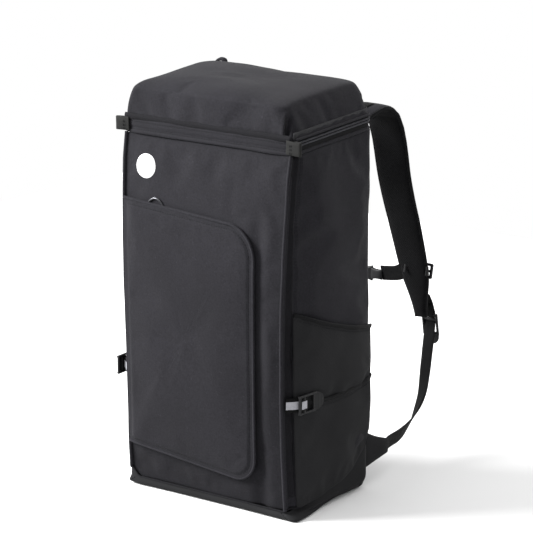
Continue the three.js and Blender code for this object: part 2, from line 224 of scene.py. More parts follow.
def cloth_material(name, color, pitch=0.0009, wear=0.35, sheen=0.02, depth=0.00012, painted_bottom_shade=0.0):
    """Plain-woven polyester with slubs, soft colour drift and lint, with an optional painted shade that
    darkens it towards the bottom.
    """
    n = Nodes(name, color, 0.86, sheen=sheen)
    u, v = n.place()
    height = weave_heights(n, u, v, pitch)
    drift = n.noise(9.0, 4.0)
    grain = n.noise(430.0, 4.0)
    thread = n.math("ADD", n.math("MULTIPLY", grain, 0.75), n.math("MULTIPLY", height, 0.25))
    base = n.ramp(drift, scaled(color, 1 - 0.35 * wear), scaled(color, 1 + 0.4 * wear), 0.32, 0.68)
    shaded = n.ramp(thread, scaled(WHITE, 0.58), WHITE, 0.34, 0.64)
    tint = n.mix(1.0, base, shaded, "MULTIPLY")
    # Painted shade: the colour darkens towards the bottom of the object, up to 0.42 m.
    if painted_bottom_shade:
        split = n.tree.nodes.new("ShaderNodeSeparateXYZ")
        n.tree.links.new(n.object_place(), split.inputs[0])
        bottom_shade_ramp = n.ramp(split.outputs[2], scaled(WHITE, 1 - painted_bottom_shade), WHITE, 0.0, 0.42)
        tint = n.mix(1.0, tint, bottom_shade_ramp, "MULTIPLY")
    lint = n.math("GREATER_THAN", n.noise(420.0, 0.0), 0.79)
    tint = n.mix(n.math("MULTIPLY", lint, 0.18), tint, (*scaled(color, 3.2), 1))
    rough = n.math("ADD", n.math("MULTIPLY", drift, 0.18), 0.74)
    fine = n.bump(height, depth, 0.55)
    soft = n.bump(n.noise(38.0, 3.0), 0.0016, 0.22, fine)
    return n.finish(tint, rough, soft)


def rib_material(name, color, pitch=0.0019, depth=0.00022):
    """Ribbed cloth: fine cords that run along the first cloth direction."""
    n = Nodes(name, color, 0.88, sheen=0.015)
    u, v = n.place()
    cord = n.math("ABSOLUTE", n.math("SINE", n.math("MULTIPLY", v, math.pi / pitch)))
    cross = n.math("ABSOLUTE", n.math("SINE", n.math("MULTIPLY", u, math.pi / (0.45 * pitch))))
    height = n.math("ADD", n.math("MULTIPLY", cord, 0.75), n.math("MULTIPLY", cross, 0.25))
    drift = n.noise(11.0, 4.0)
    base = n.ramp(drift, scaled(color, 0.85), scaled(color, 1.15), 0.32, 0.68)
    shaded = n.ramp(height, scaled(WHITE, 0.66), WHITE, 0.1, 0.8)
    tint = n.mix(1.0, base, shaded, "MULTIPLY")
    rough = n.math("ADD", n.math("MULTIPLY", drift, 0.15), 0.78)
    normal = n.bump(n.noise(45.0, 3.0), 0.0014, 0.2, n.bump(height, depth, 0.7))
    return n.finish(tint, rough, normal)


def webbing_material(name, color, width=0.02, pitch=0.0016):
    """Webbing: a herringbone of fine ribs, with tight selvedges along both edges."""
    n = Nodes(name, color, 0.72, sheen=0.01, gloss=0.06)
    u, v = n.place()
    slant = n.math("MULTIPLY", n.math("ABSOLUTE", n.math("PINGPONG", v, width / 4)), 0.9)
    phase = n.math("MULTIPLY", n.math("ADD", u, slant), math.pi / pitch)
    rib = n.math("ABSOLUTE", n.math("SINE", phase))
    across = n.math("ABSOLUTE", n.math("SINE", n.math("MULTIPLY", v, math.pi / 0.0011)))
    height = n.math("ADD", n.math("MULTIPLY", rib, 0.7), n.math("MULTIPLY", across, 0.3))
    base = n.ramp(n.noise(30.0, 3.0), scaled(color, 0.8), scaled(color, 1.35), 0.35, 0.7)
    shaded = n.ramp(height, scaled(WHITE, 0.55), WHITE, 0.1, 0.85)
    tint = n.mix(1.0, base, shaded, "MULTIPLY")
    return n.finish(tint, None, n.bump(height, 0.0003, 0.8))


def mesh_material(name, color, pitch=0.0034):
    """Air mesh: staggered small holes in a knitted face."""
    n = Nodes(name, color, 0.9, sheen=0.01)
    u, v = n.place()
    a = n.math("SINE", n.math("MULTIPLY", n.math("ADD", u, v), math.pi / pitch))
    b = n.math("SINE", n.math("MULTIPLY", n.math("SUBTRACT", u, v), math.pi / pitch))
    hole = n.math("MULTIPLY", n.math("ABSOLUTE", a), n.math("ABSOLUTE", b))
    knit = n.noise(700.0, 2.0)
    solid = n.math("MULTIPLY", n.math("SUBTRACT", 1.0, hole), 0.8)
    height = n.math("ADD", solid, n.math("MULTIPLY", knit, 0.2))
    base = n.ramp(n.noise(14.0, 3.0), scaled(color, 0.8), scaled(color, 1.25), 0.35, 0.7)
    shaded = n.ramp(height, scaled(WHITE, 0.25), WHITE, 0.2, 0.75)
    tint = n.mix(1.0, base, shaded, "MULTIPLY")
    return n.finish(tint, None, n.bump(height, 0.0006, 0.9))


def plastic_material(name, color, roughness=0.42):
    """Moulded acetal: satin, with spark-eroded grain and slightly polished wear."""
    n = Nodes(name, color, roughness, gloss=0.14)
    grain = n.noise(1500.0, 2.0)
    wear = n.noise(60.0, 4.0)
    tint = n.ramp(wear, scaled(color, 0.85), scaled(color, 1.4), 0.3, 0.75)
    rough = n.math("ADD", n.math("MULTIPLY", wear, 0.22), roughness - 0.1)
    return n.finish(tint, rough, n.bump(grain, 0.00006, 0.5))


def metal_material(name, color, roughness=0.25):
    """Enamelled zinc with small chips in its gloss."""
    n = Nodes(name, color, roughness, metallic=0.85)
    wear = n.noise(160.0, 4.0)
    tint = n.ramp(wear, scaled(color, 0.8), scaled(color, 1.8), 0.35, 0.8)
    rough = n.math("ADD", n.math("MULTIPLY", wear, 0.25), roughness - 0.1)
    return n.finish(tint, rough, n.bump(wear, 0.00005, 0.4))


def reflective_material(name, color):
    """Reflective tape: a silver face of tiny beads in a fine grid."""
    n = Nodes(name, color, 0.38, metallic=0.25)
    u, v = n.place()
    beads = weave_heights(n, u, v, 0.0007)
    tint = n.ramp(n.noise(80.0, 4.0), scaled(color, 0.8), scaled(color, 1.15), 0.3, 0.7)
    return n.finish(tint, None, n.bump(beads, 0.00008, 0.6))


CHARCOAL = (0.0131, 0.0127, 0.0152)
DARK = (0.0122, 0.0122, 0.0130)
BLACK = (0.0058, 0.0058, 0.0065)
MATERIALS = {
    "body_cloth": cloth_material("body_cloth", CHARCOAL),
    # front_cloth and pocket_cloth get painted shade that darkens them towards the bottom.
    "front_cloth": cloth_material("front_cloth", CHARCOAL, painted_bottom_shade=0.32),
    "pocket_cloth": cloth_material("pocket_cloth", scaled(CHARCOAL, 0.97), painted_bottom_shade=0.16),
    "lining": cloth_material("lining", (0.03, 0.03, 0.032), pitch=0.0006),
    "base_cloth": rib_material("base_cloth", DARK),
    "webbing": webbing_material("webbing", (0.0028, 0.0028, 0.0030)),
    "tab_webbing": webbing_material("tab_webbing", (0.0145, 0.0145, 0.014)),
    "narrow_webbing": webbing_material("narrow_webbing", (0.0026, 0.0026, 0.0029), width=0.015),
    "air_mesh": mesh_material("air_mesh", BLACK),
    "binding": cloth_material("binding", (0.0055, 0.0055, 0.006), pitch=0.0007),
    "piping": cloth_material("piping", scaled(CHARCOAL, 1.1), pitch=0.0008),
    # Darker cloth: a real dark seam on the base, and painted shade behind the piping and under the lid.
    "seam_and_painted_shade_cloth": cloth_material("seam_and_painted_shade_cloth", scaled(CHARCOAL, 0.55), pitch=0.0008),
    "buckle_plastic": plastic_material("buckle_plastic", (0.0070, 0.0070, 0.0076)),
    "board": plastic_material("board", (0.008, 0.008, 0.008), 0.6),
    "zip_tape": cloth_material("zip_tape", (0.0045, 0.0045, 0.005), pitch=0.0006),
    "zip_coil": plastic_material("zip_coil", (0.055, 0.055, 0.062), 0.35),
    "zip_metal": metal_material("zip_metal", (0.05, 0.05, 0.054)),
    "reflective": reflective_material("reflective", (0.25, 0.25, 0.27)),
    "thread": cloth_material("thread", (0.010, 0.010, 0.0115), pitch=0.0003),
    "badge": cloth_material("badge", (0.7, 0.7, 0.7), pitch=0.0009, wear=0.1),
}

# ---------------------------------------------------------------- mesh helpers

SKIN = 0.003
WEB = 0.0016
WEB_WIDE = 0.020
SETTLE_FRAMES = 16
SIDES = (("left", -1), ("right", 1))


def make_object(name, points, faces, places=None):
    """Mesh object from points in metres; places gives each point's two distances along the cloth."""
    mesh = bpy.data.meshes.new(name)
    mesh.from_pydata([tuple(p) for p in points], [], faces)
    if places is not None:
        layer = mesh.attributes.new("cloth_co", "FLOAT_VECTOR", "POINT")
        flat = np.zeros((len(points), 3), np.float32)
        flat[:, :2] = np.array(places, np.float32)
        layer.data.foreach_set("vector", flat.ravel())
    mesh.polygons.foreach_set("use_smooth", [True] * len(mesh.polygons))
    mesh.update()
    obj = bpy.data.objects.new(name, mesh)
    bpy.context.scene.collection.objects.link(obj)
    return obj


def paint(obj, *names):
    for name in names:
        obj.data.materials.append(MATERIALS[name])
    return obj


def apply_modifiers(obj):
    graph = bpy.context.evaluated_depsgraph_get()
    graph.update()
    mesh = bpy.data.meshes.new_from_object(obj.evaluated_get(graph))
    obj.modifiers.clear()
    old = obj.data
    obj.data = mesh
    bpy.data.meshes.remove(old)
    return obj


def mesh_rows(name, rows, loop=False):
    """Sheet through rows of points; with loop, each row closes on itself."""
    wide = len(rows[0])
    points = [p for row in rows for p in row]
    faces = []
    for j in range(len(rows) - 1):
        for i in range(wide if loop else wide - 1):
            k = (i + 1) % wide
            faces.append((j * wide + i, j * wide + k, (j + 1) * wide + k, (j + 1) * wide + i))
    return make_object(name, points, faces)


def grid(name, surface, count_u, count_v):
    """Sheet of points surface(u, v) for u and v in 0..1."""
    us = [i / count_u for i in range(count_u + 1)]
    vs = [j / count_v for j in range(count_v + 1)]
    return mesh_rows(name, [[Vector(surface(u, v)) for u in us] for v in vs])


def lay_cloth(obj):
    """Gives each face its place on flat cloth, seen along the axis that it faces most."""
    mesh = obj.data
    if "cloth_co" in mesh.attributes:
        mesh.attributes.remove(mesh.attributes["cloth_co"])
    layer = mesh.attributes.new("cloth_co", "FLOAT_VECTOR", "CORNER")
    corner = np.empty(len(mesh.loops), np.int32)
    mesh.loops.foreach_get("vertex_index", corner)
    points = np.empty(3 * len(mesh.vertices), np.float32)
    mesh.vertices.foreach_get("co", points)
    normals = np.empty(3 * len(mesh.polygons), np.float32)
    mesh.polygons.foreach_get("normal", normals)
    sizes = np.empty(len(mesh.polygons), np.int32)
    mesh.polygons.foreach_get("loop_total", sizes)
    axis = np.repeat(np.argmax(np.abs(normals.reshape(-1, 3)) * (1, 1.2, 1), axis=1), sizes)
    at = points.reshape(-1, 3)[corner]
    flat = np.zeros((len(corner), 3), np.float32)
    flat[:, 0] = np.where(axis == 0, at[:, 1], at[:, 0])
    flat[:, 1] = np.where(axis == 2, at[:, 1], at[:, 2])
    layer.data.foreach_set("vector", flat.ravel())
    return obj


def thicken(obj, depth):
    """Gives a sheet its thickness on the inside, with its second material there."""
    solid = obj.modifiers.new("thickness", "SOLIDIFY")
    solid.thickness = depth
    solid.offset = -1.0
    if len(obj.data.materials) > 1:
        solid.material_offset = 1
        solid.material_offset_rim = 0
    return apply_modifiers(obj)


def soften(obj, levels=1):
    smooth = obj.modifiers.new("smooth", "SUBSURF")
    smooth.levels = levels
    smooth.render_levels = levels
    return apply_modifiers(obj)


def blunt(value, power):
    """The value's size raised to a power below 1, with its sign: turns a circle into a rounded box."""
    return math.copysign(abs(value) ** power, value)


def face_towards(obj, direction, face=0):
    """Turns a sheet round if the given face looks away from a direction."""
    if obj.data.polygons[face].normal.dot(Vector(direction)) < 0:
        obj.data.flip_normals()


def ruffle(point, scale, amount, seed=0.0):
    """Smooth random height in metres at a point."""
    return amount * noise.noise(Vector(point) * scale + Vector((seed, -seed, 0.5 * seed)))


def curve_points(controls, count):
    """Points evenly spread on a smooth curve through the control points."""
    p = [Vector(c) for c in controls]
    p = [2 * p[0] - p[1]] + p + [2 * p[-1] - p[-2]]
    fine = []
    for i in range(1, len(p) - 2):
        for k in range(24):
            t = k / 24
            a, b, c, d = p[i - 1], p[i], p[i + 1], p[i + 2]
            fine.append(
                0.5
                * (
                    2 * b
                    + (c - a) * t
                    + (2 * a - 5 * b + 4 * c - d) * t * t
                    + (3 * b - a - 3 * c + d) * t * t * t
                )
            )
    fine.append(p[-2])
    return spread(fine, count)


def spread(points, count):
    """The same line with its points evenly spaced."""
    xyz = np.array([tuple(p) for p in points])
    steps = np.linalg.norm(np.diff(xyz, axis=0), axis=1)
    at = np.concatenate([[0], np.cumsum(steps)])
    want = np.linspace(0, at[-1], count)
    return [Vector([np.interp(s, at, xyz[:, k]) for k in range(3)]) for s in want]


def frames(points, across):
    """Tangent, sideways and normal directions at each point; across is a vector or a function of 0..1."""
    out = []
    last = len(points) - 1
    for i in range(last + 1):
        tangent = (points[min(i + 1, last)] - points[max(i - 1, 0)]).normalized()
        side = Vector(across(i / last) if callable(across) else across)
        side = (side - tangent * side.dot(tangent)).normalized()
        out.append((tangent, side, tangent.cross(side)))
    return out


def sweep(name, points, across, section):
    """Closed tube of section(t) = [(sideways, normal), ...] moved along points."""
    axes = frames(points, across)
    verts, places, faces = [], [], []
    run = 0.0
    size = len(section(0.0))
    for i, (p, (_, side, normal)) in enumerate(zip(points, axes)):
        if i:
            run += (p - points[i - 1]).length
        for a, b in section(i / (len(points) - 1)):
            verts.append(p + side * a + normal * b)
            places.append((run, a))
    for i in range(len(points) - 1):
        for k in range(size):
            a, b = i * size + k, i * size + (k + 1) % size
            faces.append((a, b, b + size, a + size))
    faces.append(tuple(reversed(range(size))))
    start = (len(points) - 1) * size
    faces.append(tuple(range(start, start + size)))
    obj = make_object(name, verts, faces, places)
    fix = obj.modifiers.new("edges", "BEVEL")
    fix.width = 0.0002
    fix.segments = 1
    fix.limit_method = "ANGLE"
    fix.angle_limit = math.radians(60)
    return apply_modifiers(obj)


def flat_section(width, thick, corner=0.25):
    """Section of a webbing strap: flat with rolled selvedges."""
    half, high = width / 2, thick / 2
    edge = min(half, thick) * corner * 2
    return [
        (-half, -high * 0.4),
        (-half + edge, -high),
        (-half / 2, -high),
        (0, -high),
        (half / 2, -high),
        (half - edge, -high),
        (half, -high * 0.4),
        (half, high * 0.4),
        (half - edge, high),
        (half / 2, high),
        (0, high),
        (-half / 2, high),
        (-half + edge, high),
        (-half, high * 0.4),
    ]


def webbing(name, controls, across, width, thick=0.0018, count=40, material="webbing"):
    line = curve_points(controls, count)
    obj = sweep(name, line, across, lambda t: flat_section(width, thick))
    return paint(obj, material)


def round_section(radius, sides=8):
    return [
        (radius * math.cos(2 * math.pi * k / sides), radius * math.sin(2 * math.pi * k / sides))
        for k in range(sides)
    ]


def cord_tube(name, points, radius, material, sides=8, across=(0.31, 0.17, 0.93)):
    obj = sweep(name, points, across, lambda t: round_section(radius, sides))
    return paint(obj, material)


def surface_tree(obj):
    mesh = obj.data
    points = [v.co.copy() for v in mesh.vertices]
    return BVHTree.FromPolygons(points, [list(f.vertices) for f in mesh.polygons])


STITCHES = {}
STITCH_REACH = 0.03


def stitch(body, line, tree, outward, pitch=0.0042, thread=0.00042):
    """Row of stitches along a line, each a thread that dips into the cloth at both ends."""
    length = sum((b - a).length for a, b in zip(line, line[1:]))
    count = max(2, int(length / pitch))
    dense = spread(line, 4 * count + 1)
    normals = []
    for i, p in enumerate(dense):
        hit, normal, _, _ = tree.find_nearest(p)
        if (hit - p).length < STITCH_REACH:
            dense[i] = hit
            normals.append(-normal if normal.dot(Vector(outward)) < 0 else normal)
        else:
            normals.append(Vector(outward))
    store = STITCHES.setdefault(body, ([], [], []))
    for s in range(count):
        add_thread(store, dense, normals, range(4 * s, 4 * s + 4), thread)


def add_thread(store, dense, normals, knots, thread):
    """One stitch: a short tube with its ends in the cloth and its middle above it."""
    verts, faces, places = store
    start = len(verts)
    tangent = (dense[knots[-1]] - dense[knots[0]]).normalized()
    sides = 6
    for k, lift in zip(knots, (-0.5, 0.75, 0.75, -0.5)):
        normal = normals[k]
        side = tangent.cross(normal).normalized()
        centre = dense[k] + normal * thread * lift
        for q in range(sides):
            angle = 2 * math.pi * q / sides
            verts.append(centre + (side * math.cos(angle) + normal * math.sin(angle)) * thread * 0.8)
            places.append((k * 0.001, q * 0.0003))
    for ring in range(len(knots) - 1):
        for q in range(sides):
            a = start + ring * sides + q
            b = start + ring * sides + (q + 1) % sides
            faces.append((a, a + sides, b + sides, b))
    faces.append(tuple(start + q for q in range(sides)))
    end = start + (len(knots) - 1) * sides
    faces.append(tuple(end + q for q in reversed(range(sides))))


def make_stitches():
    for body, (verts, faces, places) in STITCHES.items():
        obj = paint(make_object(f"stitching_{body}", verts, faces, places), "thread")
        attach(obj, body)


def settle(obj, pinned, pressure=1.5, cap=0.006, shrink=-0.01, stiffness=25.0):
    """Lets a cloth sheet find its own creases: pinned points stay, and no point moves further than cap."""
    rest = [v.co.copy() for v in obj.data.vertices]
    group = obj.vertex_groups.new(name="pins")
    for i, weight in pinned:
        group.add([i], weight, "REPLACE")
    cloth = obj.modifiers.new("cloth", "CLOTH")
    settings = cloth.settings
    settings.quality = 6
    settings.mass = 0.25
    settings.tension_stiffness = stiffness
    settings.compression_stiffness = stiffness
    settings.shear_stiffness = stiffness * 0.5
    settings.bending_stiffness = 6.0
    settings.vertex_group_mass = "pins"
    settings.shrink_min = shrink
    settings.use_pressure = True
    settings.uniform_pressure_force = pressure
    settings.effector_weights.gravity = 0.0
    cloth.collision_settings.use_self_collision = False
    scene = bpy.context.scene
    for frame_number in range(1, SETTLE_FRAMES + 1):
        scene.frame_set(frame_number)
    graph = bpy.context.evaluated_depsgraph_get()
    moved = [v.co.copy() for v in obj.evaluated_get(graph).data.vertices]
    obj.modifiers.clear()
    scene.frame_set(1)
    for vertex, old, new in zip(obj.data.vertices, rest, moved):
        step = new - old
        if step.length > cap:
            step = step.normalized() * cap
        vertex.co = old + step
    obj.vertex_groups.clear()
    obj.data.update()
    return obj


def border(count_u, count_v, soft=2):
    """Pins for the edge of a grid, easing off over soft rows."""
    pins = []
    wide = count_u + 1
    for j in range(count_v + 1):
        for i in range(wide):
            depth = min(i, j, count_u - i, count_v - j)
            if depth <= soft:
                pins.append((j * wide + i, 1.0 - depth / (soft + 1)))
    return pins


def dress(obj, body, replaces=()):
    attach(obj, body)
    if replaces:
        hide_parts(*replaces)
    return obj


def sew(obj, cloths, depth, body, replaces=()):
    """Turns a sheet into a piece of cloth: outer and inner material, thickness and body."""
    paint(obj, *cloths)
    thicken(obj, depth)
    return dress(lay_cloth(obj), body, replaces)


# ---------------------------------------------------------------- sizes from the frame

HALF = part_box("side_panel_right")[1].x
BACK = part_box("back_panel")[1].y
BAND_LOW, BAND_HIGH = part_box("front_band")
FRONT_TOP = BAND_LOW.y
SEAM = BAND_LOW.z
LID = BAND_HIGH.z
SLOPE = (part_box("zip_upper_track")[1].z - LID) / (BACK - FRONT_TOP)
BASE_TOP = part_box("base_panel")[1].z
CORNER_Z = 0.02
FOOT = 0.0125
FOOT_CLIMB = 0.0120
PIPING_X = (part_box("front_piping_right")[0].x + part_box("front_piping_right")[1].x) / 2


def rise(y):
    return SLOPE * (y - FRONT_TOP)


def front_profile():
    """Height and depth of the front panel's outer face, from its CAD solid."""
    found = {}
    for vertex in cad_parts["front_panel"].data.vertices:
        key = round(vertex.co.z, 4)
        found[key] = min(found.get(key, 1.0), vertex.co.y)
    heights = sorted(found)
    return np.array(heights), np.array([found[z] for z in heights])


FRONT_Z, FRONT_Y = front_profile()


def front_y(z):
    return float(np.interp(z, FRONT_Z, FRONT_Y))


def share(z):
    return min(1.0, max(0.0, z / SEAM))


def seam_x(z):
    """Half width between the piped front seams, which draw in towards the middle of the bag."""
    return PIPING_X + 0.0005 - 0.0072 * math.sin(math.pi * min(1.0, (1 - share(z)) * 0.72)) ** 1.5


def smoothstep(x):
    x = min(1.0, max(0.0, x))
    return x * x * (3 - 2 * x)


def front_foot(x):
    """Height of the seam along the foot of the front panel, which climbs into the left corner."""
    return FOOT + FOOT_CLIMB * smoothstep((-x - seam_x(CORNER_Z) + 0.018) / 0.016)


def base_seam(y):
    """Height of the seam between the side cloth and the base, at depth y."""
    depths = [-0.110, -0.088, -0.037, 0.017, 0.040, 0.077, 0.090]
    heights = [0.0135, 0.0155, 0.019, 0.0315, 0.040, 0.068, 0.0835]
    return float(np.interp(y, depths, heights))


def side_x(y, z):
    """Outer face of the side cloth at depth y and height z, on the right."""
    corner = seam_x(z)
    start = front_y(z) + 0.004
    ease = smoothstep((y - start) / 0.018) ** 0.8
    bulge = 0.0030 * math.sin(math.pi * share(z)) * math.sin(math.pi * min(1, max(0, (y + 0.08) / 0.17)))
    round_off = 0.0060 * smoothstep((y - BACK + 0.012) / 0.014) ** 2
    return corner + (HALF + 0.0005 - corner) * ease + bulge - round_off


def corner_ring(x0, x1, y0, y1, radius, count, front_left=None):
    """Even points round a rounded rectangle, anticlockwise from above, from the middle of its rear edge."""
    line = [((x0 + x1) / 2, y1)]
    tight = radius if front_left is None else front_left
    centres = [
        (x0 + radius, y1 - radius, 90, radius),
        (x0 + tight, y0 + tight, 180, tight),
        (x1 - radius, y0 + radius, 270, radius),
        (x1 - radius, y1 - radius, 0, radius),
    ]
    for cx, cy, start, radius in centres:
        for k in range(9):
            angle = math.radians(start + 90 * k / 8)
            line.append((cx + radius * math.cos(angle), cy + radius * math.sin(angle)))
    line.append(line[0])
    return spread([Vector((x, y, 0)) for x, y in line], count + 1)[:-1]


def mirrored(points, sign):
    return [Vector((sign * p[0], p[1], p[2])) for p in points]


def offset_along(obj, amount):
    """Moves each vertex along its normal by amount(point, normal) metres."""
    mesh = obj.data
    moves = [(v.co + v.normal * amount(v.co, v.normal)) for v in mesh.vertices]
    for vertex, co in zip(mesh.vertices, moves):
        vertex.co = co
    mesh.update()
    return obj


# ---------------------------------------------------------------- bag body


def make_front():
    columns, rows = 46, 80

    def surface(u, v):
        bottom = front_foot(seam_x(CORNER_Z) * (2 * u - 1))
        z = bottom + (SEAM - 0.0005 - bottom) * v
        edge = seam_x(z) - 0.0008
        x = edge * (2 * u - 1)
        crown = 0.0030 * math.sin(math.pi * u) ** 0.6 * math.sin(math.pi * v) ** 0.6
        low_part = smoothstep((0.45 - z) / 0.06)
        hollow = 0.0044 * math.exp(-(((x - 0.095) / 0.011) ** 2))
        beside = (hollow + 0.0034 * smoothstep((x - 0.108) / 0.03)) * low_part
        return x, front_y(z) - crown * (1.0 - 0.6 * share(z)) + beside, z

    obj = grid("front_cloth", surface, columns, rows)
    offset_along(obj, lambda p, n: ruffle(p, 9, 0.0016, 3.0) + ruffle(p, 26, 0.0006, 1.0))
    settle(obj, border(columns, rows), pressure=0.1, cap=0.0022, shrink=-0.005)
    soften(obj)
    tree = surface_tree(obj)
    sew(obj, ("front_cloth", "lining"), SKIN, "bag", ["front_panel"])
    return tree


def make_sides():
    columns, rows = 34, 80
    for side, sign in SIDES:

        def surface(u, v):
            u = u if sign > 0 else 1 - u
            depth = FRONT_TOP + (BACK - FRONT_TOP) * u
            bottom = base_seam(depth)
            z = bottom + (SEAM + rise(depth) - 0.0005 - bottom) * v
            y = front_y(z) + 0.0015 + (BACK + 0.0005 - front_y(z) - 0.0015) * u
            return sign * side_x(y, z), y, z

        obj = grid(f"side_cloth_{side}", surface, columns, rows)
        offset_along(obj, lambda p, n: side_folds(p, sign))
        settle(obj, border(columns, rows, 1), pressure=0.8, cap=0.005, shrink=-0.009)
        soften(obj)
        SIDE_TREES[side] = surface_tree(obj)
        sew(obj, ("body_cloth", "lining"), SKIN, "bag", [f"side_panel_{side}"])


SIDE_TREES = {}


def side_folds(p, sign):
    """Slack of a side cloth: a hollow behind the front seam and long soft folds that fall from the zip."""
    behind = p.y - front_y(p.z)
    hollow = -0.0030 * math.exp(-(((behind - 0.0065) / 0.0035) ** 2))
    hollow -= 0.0014 * math.exp(-(((behind - 0.030) / 0.014) ** 2))
    falls = 0.0016 * math.sin(34 * p.y + 5 * p.z + sign) * smoothstep((p.z - 0.25) / 0.2)
    return hollow + falls + ruffle(p, 11, 0.0022, 7.0 * sign) + ruffle(p, 30, 0.0007, 2.0)


def make_back():
    columns, rows = 46, 70

    def surface(u, v):
        z = BASE_TOP - 0.001 + (SEAM + rise(BACK) - BASE_TOP) * v
        x = side_x(BACK, z) * (1 - 2 * u)
        return x, BACK + 0.0005 + 0.0015 * math.sin(math.pi * u), z

    obj = grid("back_cloth", surface, columns, rows)
    offset_along(obj, lambda p, n: ruffle(p, 12, 0.0010, 5.0))
    soften(obj)
    sew(obj, ("body_cloth", "lining"), SKIN, "bag", ["back_panel"])
    return obj


def make_base():
    """Base of ribbed cloth that turns up to the seams, with a darted corner at each end of the front."""
    count, radius = 168, 0.0055
    front = front_y(0.02) - 0.0026
    wide = seam_x(CORNER_Z) + 0.0030
    outline = corner_ring(-wide, wide, front, BACK + 0.001, radius, count)

    def wall(p, t):
        top = base_seam(p.y) if abs(p.x) > 0.05 else (front_foot(p.x) if p.y < 0 else BASE_TOP)
        if p.y < front + 0.012:
            top = front_foot(p.x)
        if p.y > BACK - 0.004:
            top = BASE_TOP
        low = 0.007
        z = low + (top - low) * t
        grow = (side_x(max(p.y, front + 0.02), z) - wide) * smoothstep((p.y - front - 0.01) / 0.05)
        x = p.x + math.copysign(grow, p.x) * smoothstep((abs(p.x) - wide + 0.012) / 0.01)
        return Vector((x, p.y, z))

    def inward(value):
        return max(-1.0, min(1.0, value / 0.05))

    rows = []
    for inset in (0.95, 0.8, 0.6, 0.4, 0.2):
        rows.append([Vector((p.x * (1 - inset), p.y * (1 - inset), 0.0008)) for p in outline])
    for k in range(6):
        angle = math.pi / 2 * k / 5
        shrink = 0.0065 * (1 - math.sin(angle))
        z = 0.0072 - 0.0067 * math.cos(angle)
        rows.append([Vector((p.x - shrink * inward(p.x), p.y - shrink * inward(p.y), z)) for p in outline])
    rows += [[wall(p, (k + 1) / 8) for p in outline] for k in range(8)]
    rows = [[p + base_flare(p) for p in row] for row in rows]
    obj = mesh_rows("base_cloth", rows, loop=True)
    offset_along(obj, lambda p, n: ruffle(p, 16, 0.0011, 4.0) * smoothstep((p.z - 0.004) / 0.01))
    offset_along(obj, base_dart)
    soften(obj)
    tree = surface_tree(obj)
    sew(obj, ("base_cloth", "lining"), 0.0024, "bag", ["base_panel"])
    return tree


def base_flare(p):
    """Sag that pushes the bottom of each front corner outwards, more on the right."""
    reach = 0.0190 if p.x > 0 else 0.0050
    corner = smoothstep((abs(p.x) - 0.05) / 0.085) * smoothstep((0.03 - p.y) / 0.12)
    low = 1 - smoothstep((p.z - 0.001) / 0.0125)
    return Vector((math.copysign(reach, p.x), -0.0020, 0)) * corner * low


def make_base_seam():
    """Thin rolled seam where the base meets the front and sides, and the darts at its front corners."""
    for side, sign in SIDES:
        line = []
        for y in np.linspace(FRONT_TOP - 0.004, BACK - 0.001, 70):
            z = base_seam(y) + 0.0004
            line.append(Vector((sign * (side_x(max(y, front_y(z) + 0.001), z) + 0.0010), y, z)))
        obj = cord_tube(f"base_seam_{side}", line, 0.0013, "seam_and_painted_shade_cloth", 8)
        dress(obj, "bag")
        front = front_y(0.02) - 0.0026
        corner = seam_x(CORNER_Z) + 0.0030
        dart = []
        for t in np.linspace(0, 1, 7):
            dart.append(Vector((sign * (corner - 0.011 * t), front - 0.0008 * (1 - t), 0.0045 + 0.007 * t)))
        stitch("bag", dart, BASE_TREE, outward=(0, -1, 0), thread=0.0006)
    line = []
    for x in np.linspace(-1, 1, 90):
        z = front_foot(x * seam_x(CORNER_Z))
        line.append(Vector((x * (seam_x(z) + 0.001), front_y(z) - 0.0022, z + 0.0004)))
    obj = cord_tube("base_seam_front", line, 0.0012, "seam_and_painted_shade_cloth", 8)
    dress(obj, "bag")


def base_dart(p, _normal):
    """Shallow pinch where each bottom front corner is sewn along a diagonal."""
    if p.y > -0.05 or abs(p.x) < 0.09:
        return 0.0
    away = abs(abs(p.x) - seam_x(CORNER_Z) + 0.004)
    return -0.0012 * math.exp(-((away / 0.003) ** 2))


def make_board():
    low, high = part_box("base_board")
    outline = corner_ring(low.x, high.x, low.y, high.y, 0.012, 80)
    upper = [(0.97, high.z), (0.5, high.z), (0.004, high.z), (0.0, high.z - 0.0006)]
    lower = [(0.0, low.z + 0.0006), (0.004, low.z), (0.97, low.z)]
    rows = []
    for inset, z in upper + lower:
        rows.append([Vector((p.x * (1 - inset), p.y * (1 - inset), z)) for p in outline])
    obj = mesh_rows("base_board_piece", rows, loop=True)
    obj.data.flip_normals()
    paint(obj, "board")
    dress(obj, "bag", ["base_board"])


def make_piping():
    for side, sign in SIDES:
        low = front_foot(sign * seam_x(CORNER_Z)) + 0.001
        line = []
        for k in range(90):
            z = low + (SEAM - low) * k / 89
            wander = ruffle((sign * 3, 0, z), 22, 0.0006)
            line.append(Vector((sign * (seam_x(z) + wander), front_y(z) - 0.0012, z)))
        obj = cord_tube(f"piping_{side}", line, 0.0026, "piping", 10)
        dress(obj, "bag", [f"front_piping_{side}"])
        flange = []
        for k in range(90):
            z = low + (SEAM - low) * k / 89
            flange.append(Vector((sign * (seam_x(z) + 0.0003), front_y(z) + 0.0026, z)))
        lean = (sign * 0.6, 1.0, 0.0)
        obj = webbing(f"piping_flange_{side}", flange[::6], lean, 0.0042, 0.0012, 60, "piping")
        dress(obj, "bag")
        make_piping_shade_strip(side, sign)
        heights = np.linspace(0.03, SEAM - 0.004, 60)
        row = [Vector((sign * (HALF + 0.004), front_y(z) + 0.0155, z)) for z in heights]
        for shift in (0.0, 0.0036):
            moved = [p + Vector((0, shift, 0)) for p in row]
            stitch("bag", moved, SIDE_TREES[side], outward=(sign, 0, 0))


